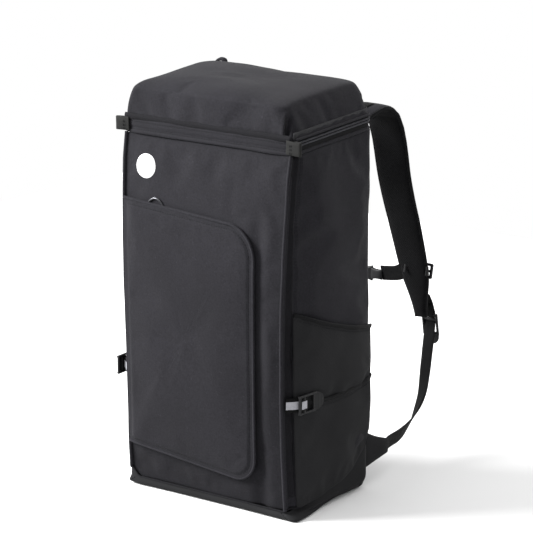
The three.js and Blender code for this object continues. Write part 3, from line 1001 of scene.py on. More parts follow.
def make_piping_shade_strip(side, sign):
    """Strip of darker cloth laid on the side cloth behind each piping: painted shade where the proud front
    panel shades the side.
    """
    tree = SIDE_TREES[side]
    rows = []
    for t in [k / 8 for k in range(9)]:
        line = []
        for z in np.linspace(0.031, SEAM - 0.002, 110):
            y = front_y(z) + 0.0020 + 0.0120 * t
            hit = tree.find_nearest(Vector((sign * side_x(y, z), y, z)))[0]
            edge = 1 - abs(2 * t - 1) ** 6
            line.append(hit + Vector((sign, 0, 0)) * (0.0004 + 0.0007 * edge))
        rows.append(line)
    obj = mesh_rows(f"piping_shade_strip_{side}", rows)
    face_towards(obj, (sign, 0, 0))
    sew(obj, ("seam_and_painted_shade_cloth",), 0.0007, "bag")


def make_front_band():
    """Folded band of cloth between the front panel and the lid, with a rolled lower hem."""
    columns, rows = 60, 9
    low, high = BAND_LOW, BAND_HIGH

    def surface(u, v):
        z = low.z - 0.0004 + (high.z + 0.001 - low.z) * v
        x = (HALF - 0.0015) * (2 * u - 1)
        roll = 0.0022 * math.exp(-(((v - 0.1) / 0.12) ** 2)) - 0.0012 * math.exp(-(((v - 0.3) / 0.1) ** 2))
        belly = 0.0012 * math.sin(math.pi * v)
        return x, FRONT_TOP - 0.0015 - roll - belly + 0.004 * abs(2 * u - 1) ** 14, z

    obj = grid("front_band_cloth", surface, columns, rows)
    offset_along(obj, lambda p, n: ruffle(p, 24, 0.0011, 8.0))
    soften(obj, 2)
    tree = surface_tree(obj)
    sew(obj, ("body_cloth", "lining"), 0.0022, "bag", ["front_band"])
    for z in (low.z + 0.0058, high.z - 0.0058):
        row = [Vector((x, FRONT_TOP - 0.003, z)) for x in np.linspace(-HALF + 0.004, HALF - 0.004, 70)]
        stitch("bag", row, tree, outward=(0, -1, 0))


def make_hinge_cloth():
    """Cloth that joins the lid to the front band."""

    def surface(u, v):
        bulge = 0.0016 * math.sin(math.pi * v)
        return (HALF - 0.002) * (2 * u - 1), FRONT_TOP - 0.0016 - bulge, LID - 0.0040 + 0.0090 * v

    obj = grid("lid_hinge_cloth", surface, 60, 6)
    # The darker cloth here is painted shade under the lid's lower edge.
    paint(obj, "seam_and_painted_shade_cloth")
    thicken(obj, 0.0014)
    lay_cloth(obj)
    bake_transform(obj)


# ---------------------------------------------------------------- zip


def zip_path(offset, count=260):
    """Line of the zip round the sides and back, offset outwards, as (point at z 0, outward direction)."""
    ring = corner_ring(-HALF - offset, HALF + offset, -0.3, BACK + 0.0005 + offset, 0.014 + offset, 900)
    kept = [p for p in ring if p.y > FRONT_TOP + 0.003]
    first = min(range(len(kept)), key=lambda i: (kept[i] - Vector((HALF + offset, FRONT_TOP, 0))).length)
    kept = spread(kept[first:] + kept[:first], count)
    out = []
    for i, p in enumerate(kept):
        tangent = (kept[min(i + 1, count - 1)] - kept[max(i - 1, 0)]).normalized()
        out.append((p, tangent.cross(Vector((0, 0, 1)))))
    return out


def zip_strip(name, low, high, bulge, body, material, slot, offset=0.0004, rows=6, sag=0.0):
    """Strip along the zip line between two heights above the seam, bulging outwards in its middle."""
    path = zip_path(offset)
    lines = []
    for j in range(rows + 1):
        v = j / rows
        line = []
        for p, out in path:
            wave = sag * noise.noise(Vector((p.x, p.y, 9.1)) * 30)
            z = SEAM + rise(p.y) + low + (high - low) * v + wave
            line.append(p + out * (bulge * math.sin(math.pi * v) ** 0.8) + Vector((0, 0, z)))
        lines.append(line)
    obj = mesh_rows(name, lines)
    sew(obj, (material,), 0.0012, body)
    return obj


def zip_coil(name, height, body, pitch=0.0023, radius=0.0011):
    """Spiral of zip filament along the edge of a tape."""
    path = [p + Vector((0, 0, SEAM + rise(p.y) + height)) for p, _ in zip_path(0.0012)]
    length = sum((b - a).length for a, b in zip(path, path[1:]))
    turns = int(length / pitch)
    steps = 7
    line = spread(path, turns * steps + 1)
    points = []
    for i, p in enumerate(line):
        tangent = (line[min(i + 1, len(line) - 1)] - line[max(i - 1, 0)]).normalized()
        out = tangent.cross(Vector((0, 0, 1)))
        angle = 2 * math.pi * i / steps
        points.append(p + out * math.cos(angle) * radius * 0.8 + Vector((0, 0, math.sin(angle) * radius)))
    obj = cord_tube(name, points, 0.00042, "zip_coil", 5, (0, 0, 1))
    dress(obj, body)


def make_zip():
    lower = zip_strip("zip_lower_binding", -0.0008, 0.0046, 0.0020, "bag", "piping", "body_cloth", sag=0.0004)
    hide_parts("zip_lower_track")
    zip_strip("zip_lower_tape", 0.0034, 0.0146, 0.0001, "bag", "zip_tape", "zip_tape", rows=4)
    zip_coil("zip_lower_coil", 0.0124, "bag")
    zip_coil("zip_upper_coil", 0.0162, "lid")
    upper = zip_strip("zip_upper_tape", 0.0147, 0.0218, 0.0001, "lid", "zip_tape", "zip_tape", rows=4)
    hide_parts("zip_upper_track")
    zip_strip("zip_upper_fold", 0.0190, 0.0228, 0.0022, "lid", "piping", "body_cloth", sag=0.0004)
    behind = {"offset": -0.0020, "rows": 4}
    zip_strip("zip_upper_facing", 0.0160, 0.0300, 0.0001, "lid", "lining", "body_cloth", **behind)


def make_tabs():
    """Webbing loop at each front end of the zip: folded at its outer end and sewn down."""
    for side, sign in SIDES:
        low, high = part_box(f"zip_end_tab_{side}")
        y = (low.y + high.y) / 2
        inner = min(abs(low.x), abs(high.x)) - 0.004
        outer = max(abs(low.x), abs(high.x)) - 0.004
        z = (low.z + high.z) / 2 + 0.0015
        loop = [
            (sign * inner, y - 0.0012, z + 0.0005),
            (sign * (inner + outer) / 2, y - 0.0022, z),
            (sign * (outer - 0.002), y - 0.0018, z - 0.0005),
            (sign * outer, y, z - 0.0006),
            (sign * (outer - 0.002), y + 0.0018, z - 0.0005),
            (sign * (inner + outer) / 2, y + 0.0022, z),
            (sign * (inner + 0.002), y + 0.0016, z + 0.0005),
        ]
        obj = webbing(f"tab_{side}", loop, (0, 0, 1), high.z - low.z, WEB, 46, "tab_webbing")
        offset_along(obj, lambda p, n: ruffle(p, 60, 0.0005, sign))
        dress(obj, "bag", [f"zip_end_tab_{side}"])
        for x in (inner + 0.0065, inner + 0.009):
            row = [Vector((sign * x, y - 0.0031, q)) for q in np.linspace(low.z + 0.002, high.z - 0.002, 8)]
            stitch("bag", row, surface_tree(obj), outward=(0, -1, 0))


# ---------------------------------------------------------------- lid


def lid_rings(count):
    """Rings of the lid from its sewn lower edge up over its rounded top."""
    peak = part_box("lid_shell")[1].z - LID - rise(BACK) * 0.5 - 0.0005
    wide, deep = HALF, (BACK - FRONT_TOP) / 2 + 0.0005
    middle = (BACK + FRONT_TOP) / 2
    angles = [90 * (k / 26) ** 0.9 for k in range(26)] + [89.2]
    rows = []
    for angle in angles:
        c, s = math.cos(math.radians(angle)), math.sin(math.radians(angle))
        right = (wide - 0.012 * s) * c ** (0.13 + 0.31 * smoothstep((angle - 62) / 18))
        left = (wide - 0.011 * s) * c ** (0.07 + 0.37 * smoothstep((angle - 69) / 14))
        y = deep * c ** (0.05 + 0.38 * smoothstep((angle - 58) / 21))
        height = peak * s**1.5
        radius = min(0.012 + 0.008 * smoothstep(s / 0.3), left * 0.6, right * 0.6, y * 0.6)
        tight = min(0.006, radius)
        swell = 0.0022 * math.sin(math.radians(2 * angle))
        sides = (-left - swell, right + swell, middle - y - swell, middle + y + swell)
        ring = corner_ring(*sides, radius, count, tight)
        rows.append([Vector((p.x, p.y, LID + rise(p.y) + height + lid_lift(p) * s)) for p in ring])
    return rows


def lid_lift(p):
    """Stuffing that pushes the rear left corner up."""
    return 0.0026 * smoothstep((0.06 - p.x) / 0.2) * smoothstep((p.y + 0.06) / 0.15)


def lid_dart(p, normal):
    """A dart at each corner: a narrow slit with a proud lip on its inner side."""
    depth = 0.0
    for sx in (-1, 1):
        for sy, top in ((-1, 0.036 if sx > 0 else 0.0), (1, 0.030)):
            line_x = sx * (HALF - 0.0125)
            edge_y = FRONT_TOP if sy < 0 else BACK
            if abs(p.y - edge_y) > 0.026 or abs(p.x - line_x) > 0.026 or normal.z > 0.85:
                continue
            height = p.z - LID - rise(p.y)
            fade = smoothstep((height - 0.001) / 0.004) * smoothstep((top - height) / 0.007)
            fade *= smoothstep((0.014 - abs(p.y - edge_y)) / 0.006)
            across = sx * (p.x - line_x)
            slit = -0.0060 * math.exp(-((across / 0.0020) ** 2))
            lip = 0.0012 * math.exp(-(((across + 0.0060) / 0.0032) ** 2))
            depth += fade * (slit + lip)
    return depth


def make_lid():
    count = 236
    rows = lid_rings(count)
    obj = mesh_rows("lid_cloth", rows, loop=True)
    offset_along(obj, lid_folds)
    pins = [(i, 1.0) for i in range(count)] + [(count + i, 0.6) for i in range(count)]
    settle(obj, pins, pressure=0.9, cap=0.004, shrink=-0.004, stiffness=20)
    close_top(obj, count, len(rows))
    soften(obj)
    offset_along(obj, lid_dart)
    tree = surface_tree(obj)
    sew(obj, ("body_cloth", "lining"), 0.0030, "lid", ["lid_shell"])
    # Dark cord in the front right dart: painted shade in its slit.
    slit = [Vector((HALF - 0.0120, FRONT_TOP, LID + z)) for z in np.linspace(0.004, 0.030, 9)]
    fold = [tree.find_nearest(p)[0] for p in slit]
    obj = cord_tube("lid_dart_slit_shade", fold, 0.0009, "zip_tape", 8)
    dress(obj, "lid")
    return tree


def close_top(obj, count, rows):
    """Fills the small ring left at the middle of the top with quads to one point."""
    mesh = bmesh.new()
    mesh.from_mesh(obj.data)
    mesh.verts.ensure_lookup_table()
    ring = [mesh.verts[(rows - 1) * count + i] for i in range(count)]
    middle = mesh.verts.new(sum((v.co for v in ring), Vector()) / count)
    for a, b in zip(ring, ring[1:] + ring[:1]):
        mesh.faces.new((a, b, middle))
    bmesh.ops.remove_doubles(mesh, verts=mesh.verts, dist=0.0004)
    mesh.to_mesh(obj.data)
    mesh.free()
    obj.data.polygons.foreach_set("use_smooth", [True] * len(obj.data.polygons))


def lid_folds(p, _normal):
    """Gathers that fall down the lid's sides, a hollow on its top and slack between."""
    height = p.z - LID
    side = smoothstep((abs(p.x) - 0.115) / 0.02) * smoothstep((p.y + 0.075) / 0.03)
    gather = math.sin(p.y * 190 + 5.0 * noise.noise(p * 19)) * (0.45 + 0.9 * abs(noise.noise(p * 26)))
    falls = 0.0003 * side * gather * smoothstep(height / 0.014) * smoothstep((0.052 - height) / 0.02)
    front = smoothstep((-p.y - 0.05) / 0.03)
    lean = 0.0010 * front * math.sin(p.x * 37 + 1.0) * smoothstep(height / 0.02)
    hollow = -0.0020 * math.exp(-(((p.x - 0.02) / 0.09) ** 2) - ((p.y - 0.01) / 0.05) ** 2)
    return falls + lean + hollow + ruffle(p, 9, 0.0022, 11.0) + ruffle(p, 27, 0.0011, 6.0)


def make_lid_ear():
    """Tip of a dart that stands up at the lid's rear left corner."""
    low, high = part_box("lid_corner_loop")
    x = (low.x + high.x) / 2
    top = LID_TREE.ray_cast(Vector((x, BACK - 0.012, 1)), Vector((0, 0, -1)))[0].z
    line = [
        (low.x, BACK - 0.014, top - 0.0035),
        (x - 0.005, BACK - 0.012, top + 0.0018),
        (x, BACK - 0.012, top + 0.0030),
        (x + 0.005, BACK - 0.012, top + 0.0018),
        (high.x, BACK - 0.014, top - 0.0035),
    ]
    obj = webbing("lid_ear", line, (0, 1, 0.2), 0.009, 0.0035, 30, "body_cloth")
    dress(obj, "lid", ["lid_corner_loop"])


# ---------------------------------------------------------------- front pocket

FLAP_LOW, FLAP_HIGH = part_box("front_pocket_flap")
FLAP_CROWN = 0.0052
FLAP_CORNERS = (0.046, 0.032)


def node_outline(node, count):
    """Outline of a CAD node seen from the front: evenly spaced points, anticlockwise."""
    points = sorted({(round(v.co.x, 5), round(v.co.z, 5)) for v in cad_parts[node].data.vertices})
    hull = []
    for direction in (points, points[::-1]):
        part = []
        for p in direction:
            while len(part) > 1 and turn(part[-2], part[-1], p) <= 0:
                part.pop()
            part.append(p)
        hull += part[:-1]
    line = [Vector((x, 0, z)) for x, z in hull + hull[:1]]
    return spread(line, count + 1)[:-1]


def turn(a, b, c):
    return (b[0] - a[0]) * (c[1] - a[1]) - (b[1] - a[1]) * (c[0] - a[0])


def pull_in(outline, amount):
    """Outline moved inwards by an even amount."""
    count = len(outline)
    out = []
    for i, p in enumerate(outline):
        along = (outline[(i + 1) % count] - outline[i - 1]).normalized()
        out.append(p + Vector((-along.z, 0, along.x)) * amount)
    return out


def make_pocket():
    make_gusset()
    make_flap()
    make_pocket_slider()


def make_gusset():
    """Wall of the front pocket: cloth that stands off the panel, with a zip tape round its outer edge."""
    outline = node_outline("pocket_gusset", 150)
    face = FLAP_LOW.y + FLAP_CROWN
    rows = []
    for t in [k / 6 for k in range(7)]:
        ring = pull_in(outline, 0.0010 * math.sin(math.pi * t))
        ends = [flap_point(p, face, flap_height(0.02)) + Vector((0, FLAP_CROWN, 0)) for p in ring]
        feet = [Vector((p.x, front_y(p.z) + 0.0004, p.z)) for p in ring]
        rows.append([a + (b - a) * t for a, b in zip(feet, ends)])
    obj = mesh_rows("pocket_gusset_cloth", rows, loop=True)
    offset_along(obj, lambda p, n: ruffle(p, 40, 0.0012, 3.0))
    sew(obj, ("pocket_cloth", "lining"), 0.0016, "bag", ["pocket_gusset"])
    line = [p + Vector((0, 0.0016, 0)) for p in rows[-1]]
    tape = cord_tube("pocket_zip_tape", line + line[:1], 0.0012, "zip_tape", 8)
    dress(tape, "bag")


def flap_height(depth_in):
    """Crown of the padded flap: a thin sewn hem, then one slow rise to its middle."""
    hem = 0.0009 * math.exp(-(((depth_in - 0.0062) / 0.0016) ** 2))
    return 0.0022 * smoothstep((depth_in - 0.001) / 0.009) + 0.0030 * smoothstep(depth_in / 0.075) - hem


def flap_shape():
    """The flap's corners: its two leaning edges and its round right-hand corners, from its CAD outline."""
    low, high = FLAP_LOW, FLAP_HIGH
    outline = node_outline("front_pocket_flap", 400)
    middle = (low.z + high.z) / 2
    straight = [p for p in outline if low.x + 0.004 < p.x < high.x - 0.06]
    upper = np.polyfit([p.x for p in straight if p.z > middle], [p.z for p in straight if p.z > middle], 1)
    lower = np.polyfit([p.x for p in straight if p.z < middle], [p.z for p in straight if p.z < middle], 1)
    return low.x, high.x, upper, lower


def flap_ring(depth):
    """Outline of the flap moved in by a depth, anticlockwise, with as many points each time."""
    x0, x1, upper, lower = flap_shape()
    x0, x1 = x0 + depth, x1 - depth

    def top(x):
        return np.polyval(upper, x) - depth

    def bottom(x):
        return np.polyval(lower, x) + depth

    r_top, r_low = (max(radius - depth, 0.003) for radius in FLAP_CORNERS)
    points = []
    for k in range(40):
        x = x0 + (x1 - r_low - x0) * k / 40
        points.append((x, bottom(x)))
    for k in range(18):
        a = math.pi / 2 * k / 18
        points.append((x1 - r_low + r_low * math.sin(a), bottom(x1 - r_low) + r_low * (1 - math.cos(a))))
    low_z, high_z = bottom(x1 - r_low) + r_low, top(x1 - r_top) - r_top
    for k in range(56):
        points.append((x1, low_z + (high_z - low_z) * k / 56))
    for k in range(22):
        a = math.pi / 2 * k / 22
        points.append((x1 - r_top + r_top * math.cos(a), top(x1 - r_top) - r_top * (1 - math.sin(a))))
    for k in range(40):
        x = x1 - r_top + (x0 - x1 + r_top) * k / 40
        points.append((x, top(x)))
    for k in range(70):
        points.append((x0, top(x0) + (bottom(x0) - top(x0)) * k / 70))
    return [Vector((max(x, depth - seam_x(z) + 0.0022), 0, z)) for x, z in points]


def make_flap():
    low, high = FLAP_LOW, FLAP_HIGH
    centre = Vector(((low.x + high.x) / 2, 0, (low.z + high.z) / 2))
    face = low.y + FLAP_CROWN
    rim_width = 0.028
    rows = []
    for depth in [rim_width * k / 14 for k in range(15)]:
        rows.append([flap_point(p, face, flap_height(depth)) for p in flap_ring(depth)])
    last = flap_ring(rim_width)
    count = len(last)
    for t in [k / 16 for k in range(1, 16)]:
        ring = [p + (centre - p) * t for p in last]
        rows.append([flap_point(p, face, flap_height(rim_width + 0.085 * t)) for p in ring])
    obj = mesh_rows("pocket_flap_cloth", rows, loop=True)
    close_top(obj, count, len(rows))
    pins = [(i, 1.0) for i in range(4 * count)] + [(i, 0.5) for i in range(4 * count, 5 * count)]
    offset_along(obj, lambda p, n: ruffle(p, 9, 0.0018, 2.0) * smoothstep((p.x - low.x) / 0.03))
    settle(obj, pins, pressure=0.5, cap=0.003, shrink=-0.001)
    soften(obj)
    tree = surface_tree(obj)
    cloths = ("pocket_cloth", "lining")
    sew(obj, cloths, 0.0042, "pocket_flap", ["front_pocket_flap"])
    rim = [flap_point(p, face, -0.0012) for p in flap_ring(-0.0006)]
    edge = cord_tube("pocket_flap_piping", rim[: 1 - 70] + [rim[-70]], 0.0021, "piping", 8)
    dress(edge, "pocket_flap")
    row = [flap_point(p, face, 0) for p in flap_ring(0.0066)]
    stitch("pocket_flap", row[:-70], tree, outward=(0, -1, 0))




def flap_point(p, face, height):
    """Place on the flap, which leans with the front panel."""
    lean = front_y(p.z) - FRONT_Y.min()
    stand = smoothstep((p.x - FLAP_LOW.x) / 0.020)
    sewn = front_y(p.z) - 0.0046
    return Vector((p.x, sewn + (face + 0.6 * lean - height - sewn) * stand, p.z))


def make_pocket_slider():
    low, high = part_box("pocket_slider")
    body = slider_body("pocket_slider_piece", high.x - low.x, high.y - low.y, high.z - low.z)
    body.data.transform(Matrix.Translation((low + high) / 2))
    dress(body, "pocket_slider", ["pocket_slider"])
    low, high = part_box("pocket_ring_pull")
    centre, radius = (low + high) / 2, (high.x - low.x) / 2 - 0.0015
    line = []
    for k in range(57):
        angle = 2 * math.pi * k / 56
        squeeze = 1 - 0.06 * math.cos(2 * angle)
        line.append(centre + Vector((radius * squeeze * math.sin(angle), 0, -radius * math.cos(angle))))
    ring = cord_tube("pocket_ring", line, 0.0015, "zip_metal", 10, (0, 1, 0))
    dress(ring, "pocket_slider", ["pocket_ring_pull"])


def slider_body(name, wide, deep, tall):
    """Zip slider: a waisted pair of plates with a bridge, centred on the origin."""
    mesh = bmesh.new()
    count = 28
    for y0, y1 in ((-deep / 2, -deep / 6), (deep / 6, deep / 2), (-deep / 6, deep / 6)):
        thin = 0.45 if abs(y0) < deep / 5 and abs(y1) < deep / 5 else 1.0
        rings = []
        for y in (y0, y1):
            ring = []
            for k in range(count):
                a = 2 * math.pi * k / count
                waist = 1 - 0.16 * abs(math.sin(a)) ** 4
                x = wide / 2 * thin * blunt(math.cos(a), 0.6) * waist
                z = tall / 2 * thin * blunt(math.sin(a), 0.6)
                ring.append(mesh.verts.new((x, y, z)))
            rings.append(ring)
        for a, b, c, d in zip(rings[0], rings[0][1:] + rings[0][:1], rings[1][1:] + rings[1][:1], rings[1]):
            mesh.faces.new((a, b, c, d))
        mesh.faces.new(list(reversed(rings[0])))
        mesh.faces.new(rings[1])
    return finish_hard(name, mesh, "zip_metal", 0.0004)


def finish_hard(name, mesh, material, bevel):
    """Object from a bmesh with rounded edges."""
    bmesh.ops.recalc_face_normals(mesh, faces=mesh.faces)
    data = bpy.data.meshes.new(name)
    mesh.to_mesh(data)
    mesh.free()
    data.polygons.foreach_set("use_smooth", [True] * len(data.polygons))
    obj = bpy.data.objects.new(name, data)
    bpy.context.scene.collection.objects.link(obj)
    paint(obj, material)
    rounding = obj.modifiers.new("rounding", "BEVEL")
    rounding.width = bevel
    rounding.segments = 3
    rounding.limit_method = "ANGLE"
    rounding.angle_limit = math.radians(35)
    rounding.harden_normals = True
    return apply_modifiers(obj)


def make_badge():
    """Plain printed disc near the front panel's upper left corner."""
    low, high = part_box("front_badge")
    centre, radius = (low + high) / 2, (high.x - low.x) / 2
    rows = []
    for share_out in (1.0, 0.985, 0.9, 0.7, 0.5, 0.3, 0.1):
        ring = []
        for k in range(64):
            a = 2 * math.pi * k / 64
            p = centre + Vector((radius * share_out * math.cos(a), 0, radius * share_out * math.sin(a)))
            hit = FRONT_TREE.ray_cast(Vector((p.x, -0.2, p.z)), Vector((0, 1, 0)))[0]
            ring.append(hit + Vector((0, -0.0004 if share_out < 0.99 else 0.0001, 0)))
        rows.append(ring)
    obj = mesh_rows("badge_disc", rows, loop=True)
    close_top(obj, 64, len(rows))
    paint(obj, "badge")
    dress(lay_cloth(obj), "bag", ["front_badge"])


# ---------------------------------------------------------------- side pockets and straps

STRAP_SLACK = {"left": Vector((-0.0080, -0.0060, 0.0050)), "right": Vector((0.0022, 0.0, 0.0))}


def upper_mouth(y):
    return float(np.interp(y, [-0.090, -0.055, -0.020, 0.031, 0.095], [0.296, 0.282, 0.268, 0.251, 0.237]))


def lower_mouth(y):
    return float(np.interp(y, [-0.089, -0.0345, -0.014, 0.032, 0.085], [0.173, 0.1615, 0.160, 0.160, 0.166]))


def pocket_sheet(name, sign, foot, mouth, swell, node):
    """Open pocket of ribbed cloth, sewn at its foot and both ends, loose at its hemmed mouth."""
    columns, rows = 40, 30
    rear = BACK + 0.004

    def surface(u, v):
        u = u if sign > 0 else 1 - u
        depth = FRONT_TOP + 0.0145 + (rear - FRONT_TOP - 0.0145) * u
        top = mouth(depth)
        z = foot(depth) + (top - foot(depth)) * v
        y = front_y(z) + 0.014 + (rear - front_y(z) - 0.014) * u
        ends = math.sin(math.pi * u) ** 0.55
        stand = 0.0022 + swell * ends * (0.25 + 0.75 * math.sin(math.pi * (0.08 + 0.72 * v)))
        corner = side_x(min(y, BACK - 0.001), z)
        return sign * (corner + stand), y, z

    obj = grid(name, surface, columns, rows)
    offset_along(obj, lambda p, n: ruffle(p, 14, 0.0020, 9.0 * sign) + ruffle(p, 34, 0.0008, 4.0))
    mouth_row, ends = (columns + 1) * (rows - 1), (0, columns)
    pins = [(i, w) for i, w in border(columns, rows, 1) if i < mouth_row or i % (columns + 1) in ends]
    settle(obj, pins, pressure=0.4, cap=0.0025, shrink=-0.010)
    hem = [v.co + Vector((sign * 0.0004, 0, -0.0012)) for v in obj.data.vertices[-(columns + 1) :]]
    soften(obj)
    tree = surface_tree(obj)
    sew(obj, ("base_cloth", "lining"), 0.0018, "bag", [node])
    binding = webbing(f"{name}_hem", hem[::4], (0.12 * sign, 0, 1), 0.0060, 0.0030, 70, "binding")
    dress(binding, "bag")
    row = [p + Vector((sign * 0.002, 0, -0.0062)) for p in hem]
    stitch("bag", row, tree, outward=(sign, 0, 0))
    return tree


def make_side_pockets():
    for side, sign in SIDES:
        for level, foot, mouth, swell in (
            ("lower", lambda y: base_seam(y) + 0.0005, lower_mouth, 0.0062),
            ("upper", lambda y: lower_mouth(y) - 0.012, upper_mouth, 0.0050),
        ):
            node = f"side_pocket_{level}_{side}"
            pocket_sheet(f"{level}_pocket_{side}", sign, foot, mouth, swell, node)


def make_side_straps():
    """Webbing sewn into each front seam that crosses the lower pocket, with a reflective stripe."""
    for side, sign in SIDES:
        low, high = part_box(f"side_strap_{side}")
        buckle_low, buckle_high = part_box(f"side_ladderlock_{side}")
        slack = STRAP_SLACK[side]
        buckle_low, buckle_high = buckle_low + slack, buckle_high + slack
        z = (low.z + high.z) / 2 + slack.z
        top = max(abs(buckle_low.x), abs(buckle_high.x))
        line = [
            (sign * (HALF - 0.0065), FRONT_TOP - 0.0085, z),
            (sign * (HALF + 0.0005), FRONT_TOP - 0.001, z),
            (sign * (top - 0.0062), FRONT_TOP + 0.008, z),
            (sign * (top - 0.0034), buckle_low.y + 0.004, z),
            (sign * (top - 0.0030), buckle_low.y + 0.014, z),
            (sign * (top - 0.0052), buckle_low.y + 0.020, z),
            (sign * (top - 0.0060), high.y - 0.004, z),
            (sign * (HALF + 0.0050), high.y, z),
        ]
        obj = webbing(f"side_webbing_{side}", line, (0, 0, 1), high.z - low.z, WEB, 60)
        dress(obj, "bag", [f"side_strap_{side}"])
        low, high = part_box(f"side_strap_stripe_{side}")
        wide = high.z - low.z
        tape = [(x + sign * 0.0010, y - 0.0006 * (y < FRONT_TOP), z) for x, y, z in line[:5]]
        obj = webbing(f"side_stripe_{side}", tape, (0, 0, 1), wide, 0.0007, 46, "reflective")
        dress(obj, "bag", [f"side_strap_stripe_{side}"])


# Turns a buckle's own (across, along, out) directions into x, z and y
UPRIGHT = Matrix(((1, 0, 0, 0), (0, 0, 1, 0), (0, 1, 0, 0), (0, 0, 0, 1)))


def bar(mesh, start, end, wide, thick, axes):
    """Rounded bar of a buckle between two places in the buckle's own (across, along, out) directions."""
    a, b = Vector(start), Vector(end)
    along = (b - a).normalized()
    out = Vector((0, 0, 1))
    across = along.cross(out)
    rings = []
    for p in (a, b):
        ring = []
        for k in range(12):
            t = 2 * math.pi * (k + 0.5) / 12
            c, s = blunt(math.cos(t), 0.55), blunt(math.sin(t), 0.55)
            ring.append(mesh.verts.new(axes @ (p + across * wide / 2 * c + out * thick / 2 * s)))
        rings.append(ring)
    for i in range(12):
        k = (i + 1) % 12
        mesh.faces.new((rings[0][i], rings[0][k], rings[1][k], rings[1][i]))
    mesh.faces.new(list(reversed(rings[0])))
    mesh.faces.new(rings[1])


def ladderlock(name, centre, across, along, out, wide, tall):
    """Ladder buckle: two rails, three bars for the webbing and a ribbed thumb tab past the last bar."""
    axes = Matrix((across, along, out)).transposed().to_4x4()
    axes.translation = centre
    mesh = bmesh.new()
    half = wide / 2 - 0.0016
    frame_low, frame_high = -tall / 2, tall * 0.12
    for s in (-1, 1):
        bar(mesh, (s * half, frame_low, 0), (s * half, frame_high + 0.004, 0.0004), 0.0032, 0.0044, axes)
    cross_bars = ((frame_low + 0.0016, 0.0), (frame_low + 0.0095, 0.0006), (frame_high, 0.0))
    for k, (place, lift) in enumerate(cross_bars):
        bar(mesh, (-half, place, lift), (half, place, lift), 0.0032, 0.0036 + 0.0004 * k, axes)
    rows = 9
    rings = []
    for k in range(rows + 1):
        t = k / rows
        reach = frame_high + (tall / 2 - frame_high) * t
        span = (half + 0.0012) * math.sqrt(max(0.02, 1 - (t * 0.97) ** 2.4))
        lift = 0.0016 * t + 0.0010 * t * t
        ridge = 0.0005 * (math.cos(t * math.pi * 8) > 0) * (0.2 < t < 0.85)
        ring = []
        for x, o in ((-1, -0.0012), (1, -0.0012), (1, 0.0012 + ridge), (-1, 0.0012 + ridge)):
            ring.append(mesh.verts.new(axes @ Vector((x * span, reach, o + lift))))
        rings.append(ring)
    for a, b in zip(rings, rings[1:]):
        for i in range(4):
            k = (i + 1) % 4
            mesh.faces.new((a[i], a[k], b[k], b[i]))
    mesh.faces.new(list(reversed(rings[0])))
    mesh.faces.new(rings[-1])
    return finish_hard(name, mesh, "buckle_plastic", 0.0004)


def make_side_buckles():
    for side, sign in SIDES:
        node = f"side_ladderlock_{side}"
        low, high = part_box(node)
        low, high = low + STRAP_SLACK[side], high + STRAP_SLACK[side]
        centre = (low + high) / 2
        centre.x = sign * (max(abs(low.x), abs(high.x)) - 0.0036)
        along = Vector((sign * 0.05, 1, 0)).normalized()
        out = Vector((sign, -0.05 * sign, 0)).normalized()
        across = along.cross(out)
        wide, tall = high.z - low.z, high.y - low.y
        obj = ladderlock(f"side_buckle_piece_{side}", centre, across, along, out, wide, tall)
        dress(obj, f"side_buckle_{side}", [node])


# ---------------------------------------------------------------- back


def make_back_pads():
    for side, sign in SIDES:
        node = f"back_pad_{side}"
        low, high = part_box(node)
        x0, x1 = sorted((abs(low.x), abs(high.x)))
        columns, rows = 26, 74

        def surface(u, v):
            edge = 1 - (2 * u - 1) ** 2
            ends = 1 - (2 * v - 1) ** 2
            narrow = 0.012 * (1 - min(1, ends * 7)) ** 2
            x = x1 - narrow + (x0 + narrow - x1 + narrow) * u
            z = low.z + (high.z - low.z) * v
            crown = (min(1, edge * 3.2) ** 0.6) * (min(1, ends * 16) ** 0.5)
            channel = sum(math.exp(-(((v - k / 4) / 0.011) ** 2)) for k in (1, 2, 3))
            y = BACK + 0.0035 + (high.y - BACK + 0.0015) * crown * (1 - 0.72 * min(1, channel))
            return (x if sign > 0 else x0 + x1 - x) * sign, y, z

        obj = grid(f"back_pad_cloth_{side}", surface, columns, rows)
        face_towards(obj, (0, 1, 0), len(obj.data.polygons) // 2)
        settle(obj, border(columns, rows, 1), pressure=1.2, cap=0.003)
        soften(obj)
        sew(obj, ("air_mesh", "air_mesh"), 0.0030, "bag", [node])
        line = []
        for p in corner_ring(x0 + 0.001, x1 - 0.001, low.z + 0.001, high.z - 0.001, 0.012, 160):
            line.append(Vector((sign * p.x, BACK + 0.0042, p.y)))
        edge = cord_tube(f"back_pad_binding_{side}", line + line[:1], 0.0017, "binding", 8, (0, 1, 0))
        dress(edge, "bag")


def rounded_patch(name, x0, x1, z0, z1, y, crown, radius, material, thick=0.0022):
    """Sewn patch on the back: a rounded rectangle that swells a little."""
    outline = corner_ring(x0, x1, z0, z1, radius, 120)
    middle = Vector(((x0 + x1) / 2, (z0 + z1) / 2, 0))
    rows = []
    for t, lift in ((0.0, 0.0), (0.03, 0.55), (0.08, 0.85), (0.2, 1.0), (0.45, 1.0), (0.7, 1.0), (0.95, 1.0)):
        ring = [p + (middle - p) * t for p in outline]
        rows.append([Vector((p.x, y + crown * lift + ruffle((p.x, 0, p.y), 20, 0.0006), p.y)) for p in ring])
    obj = mesh_rows(name, rows, loop=True)
    close_top(obj, 120, len(rows))
    face_towards(obj, (0, 1, 0))
    paint(obj, material)
    thicken(obj, thick)
    return lay_cloth(obj)


def make_yoke():
    low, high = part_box("yoke_patch")
    y, swell = low.y + 0.0006, high.y - low.y
    obj = rounded_patch("yoke_cloth", low.x, high.x, low.z, high.z, y, swell, 0.006, "base_cloth")
    dress(obj, "bag", ["yoke_patch"])
    for z in (low.z + 0.003, high.z - 0.003):
        row = [Vector((x, high.y + 0.0008, z)) for x in np.linspace(low.x + 0.004, high.x - 0.004, 50)]
        stitch("bag", row, surface_tree(obj), outward=(0, 1, 0))


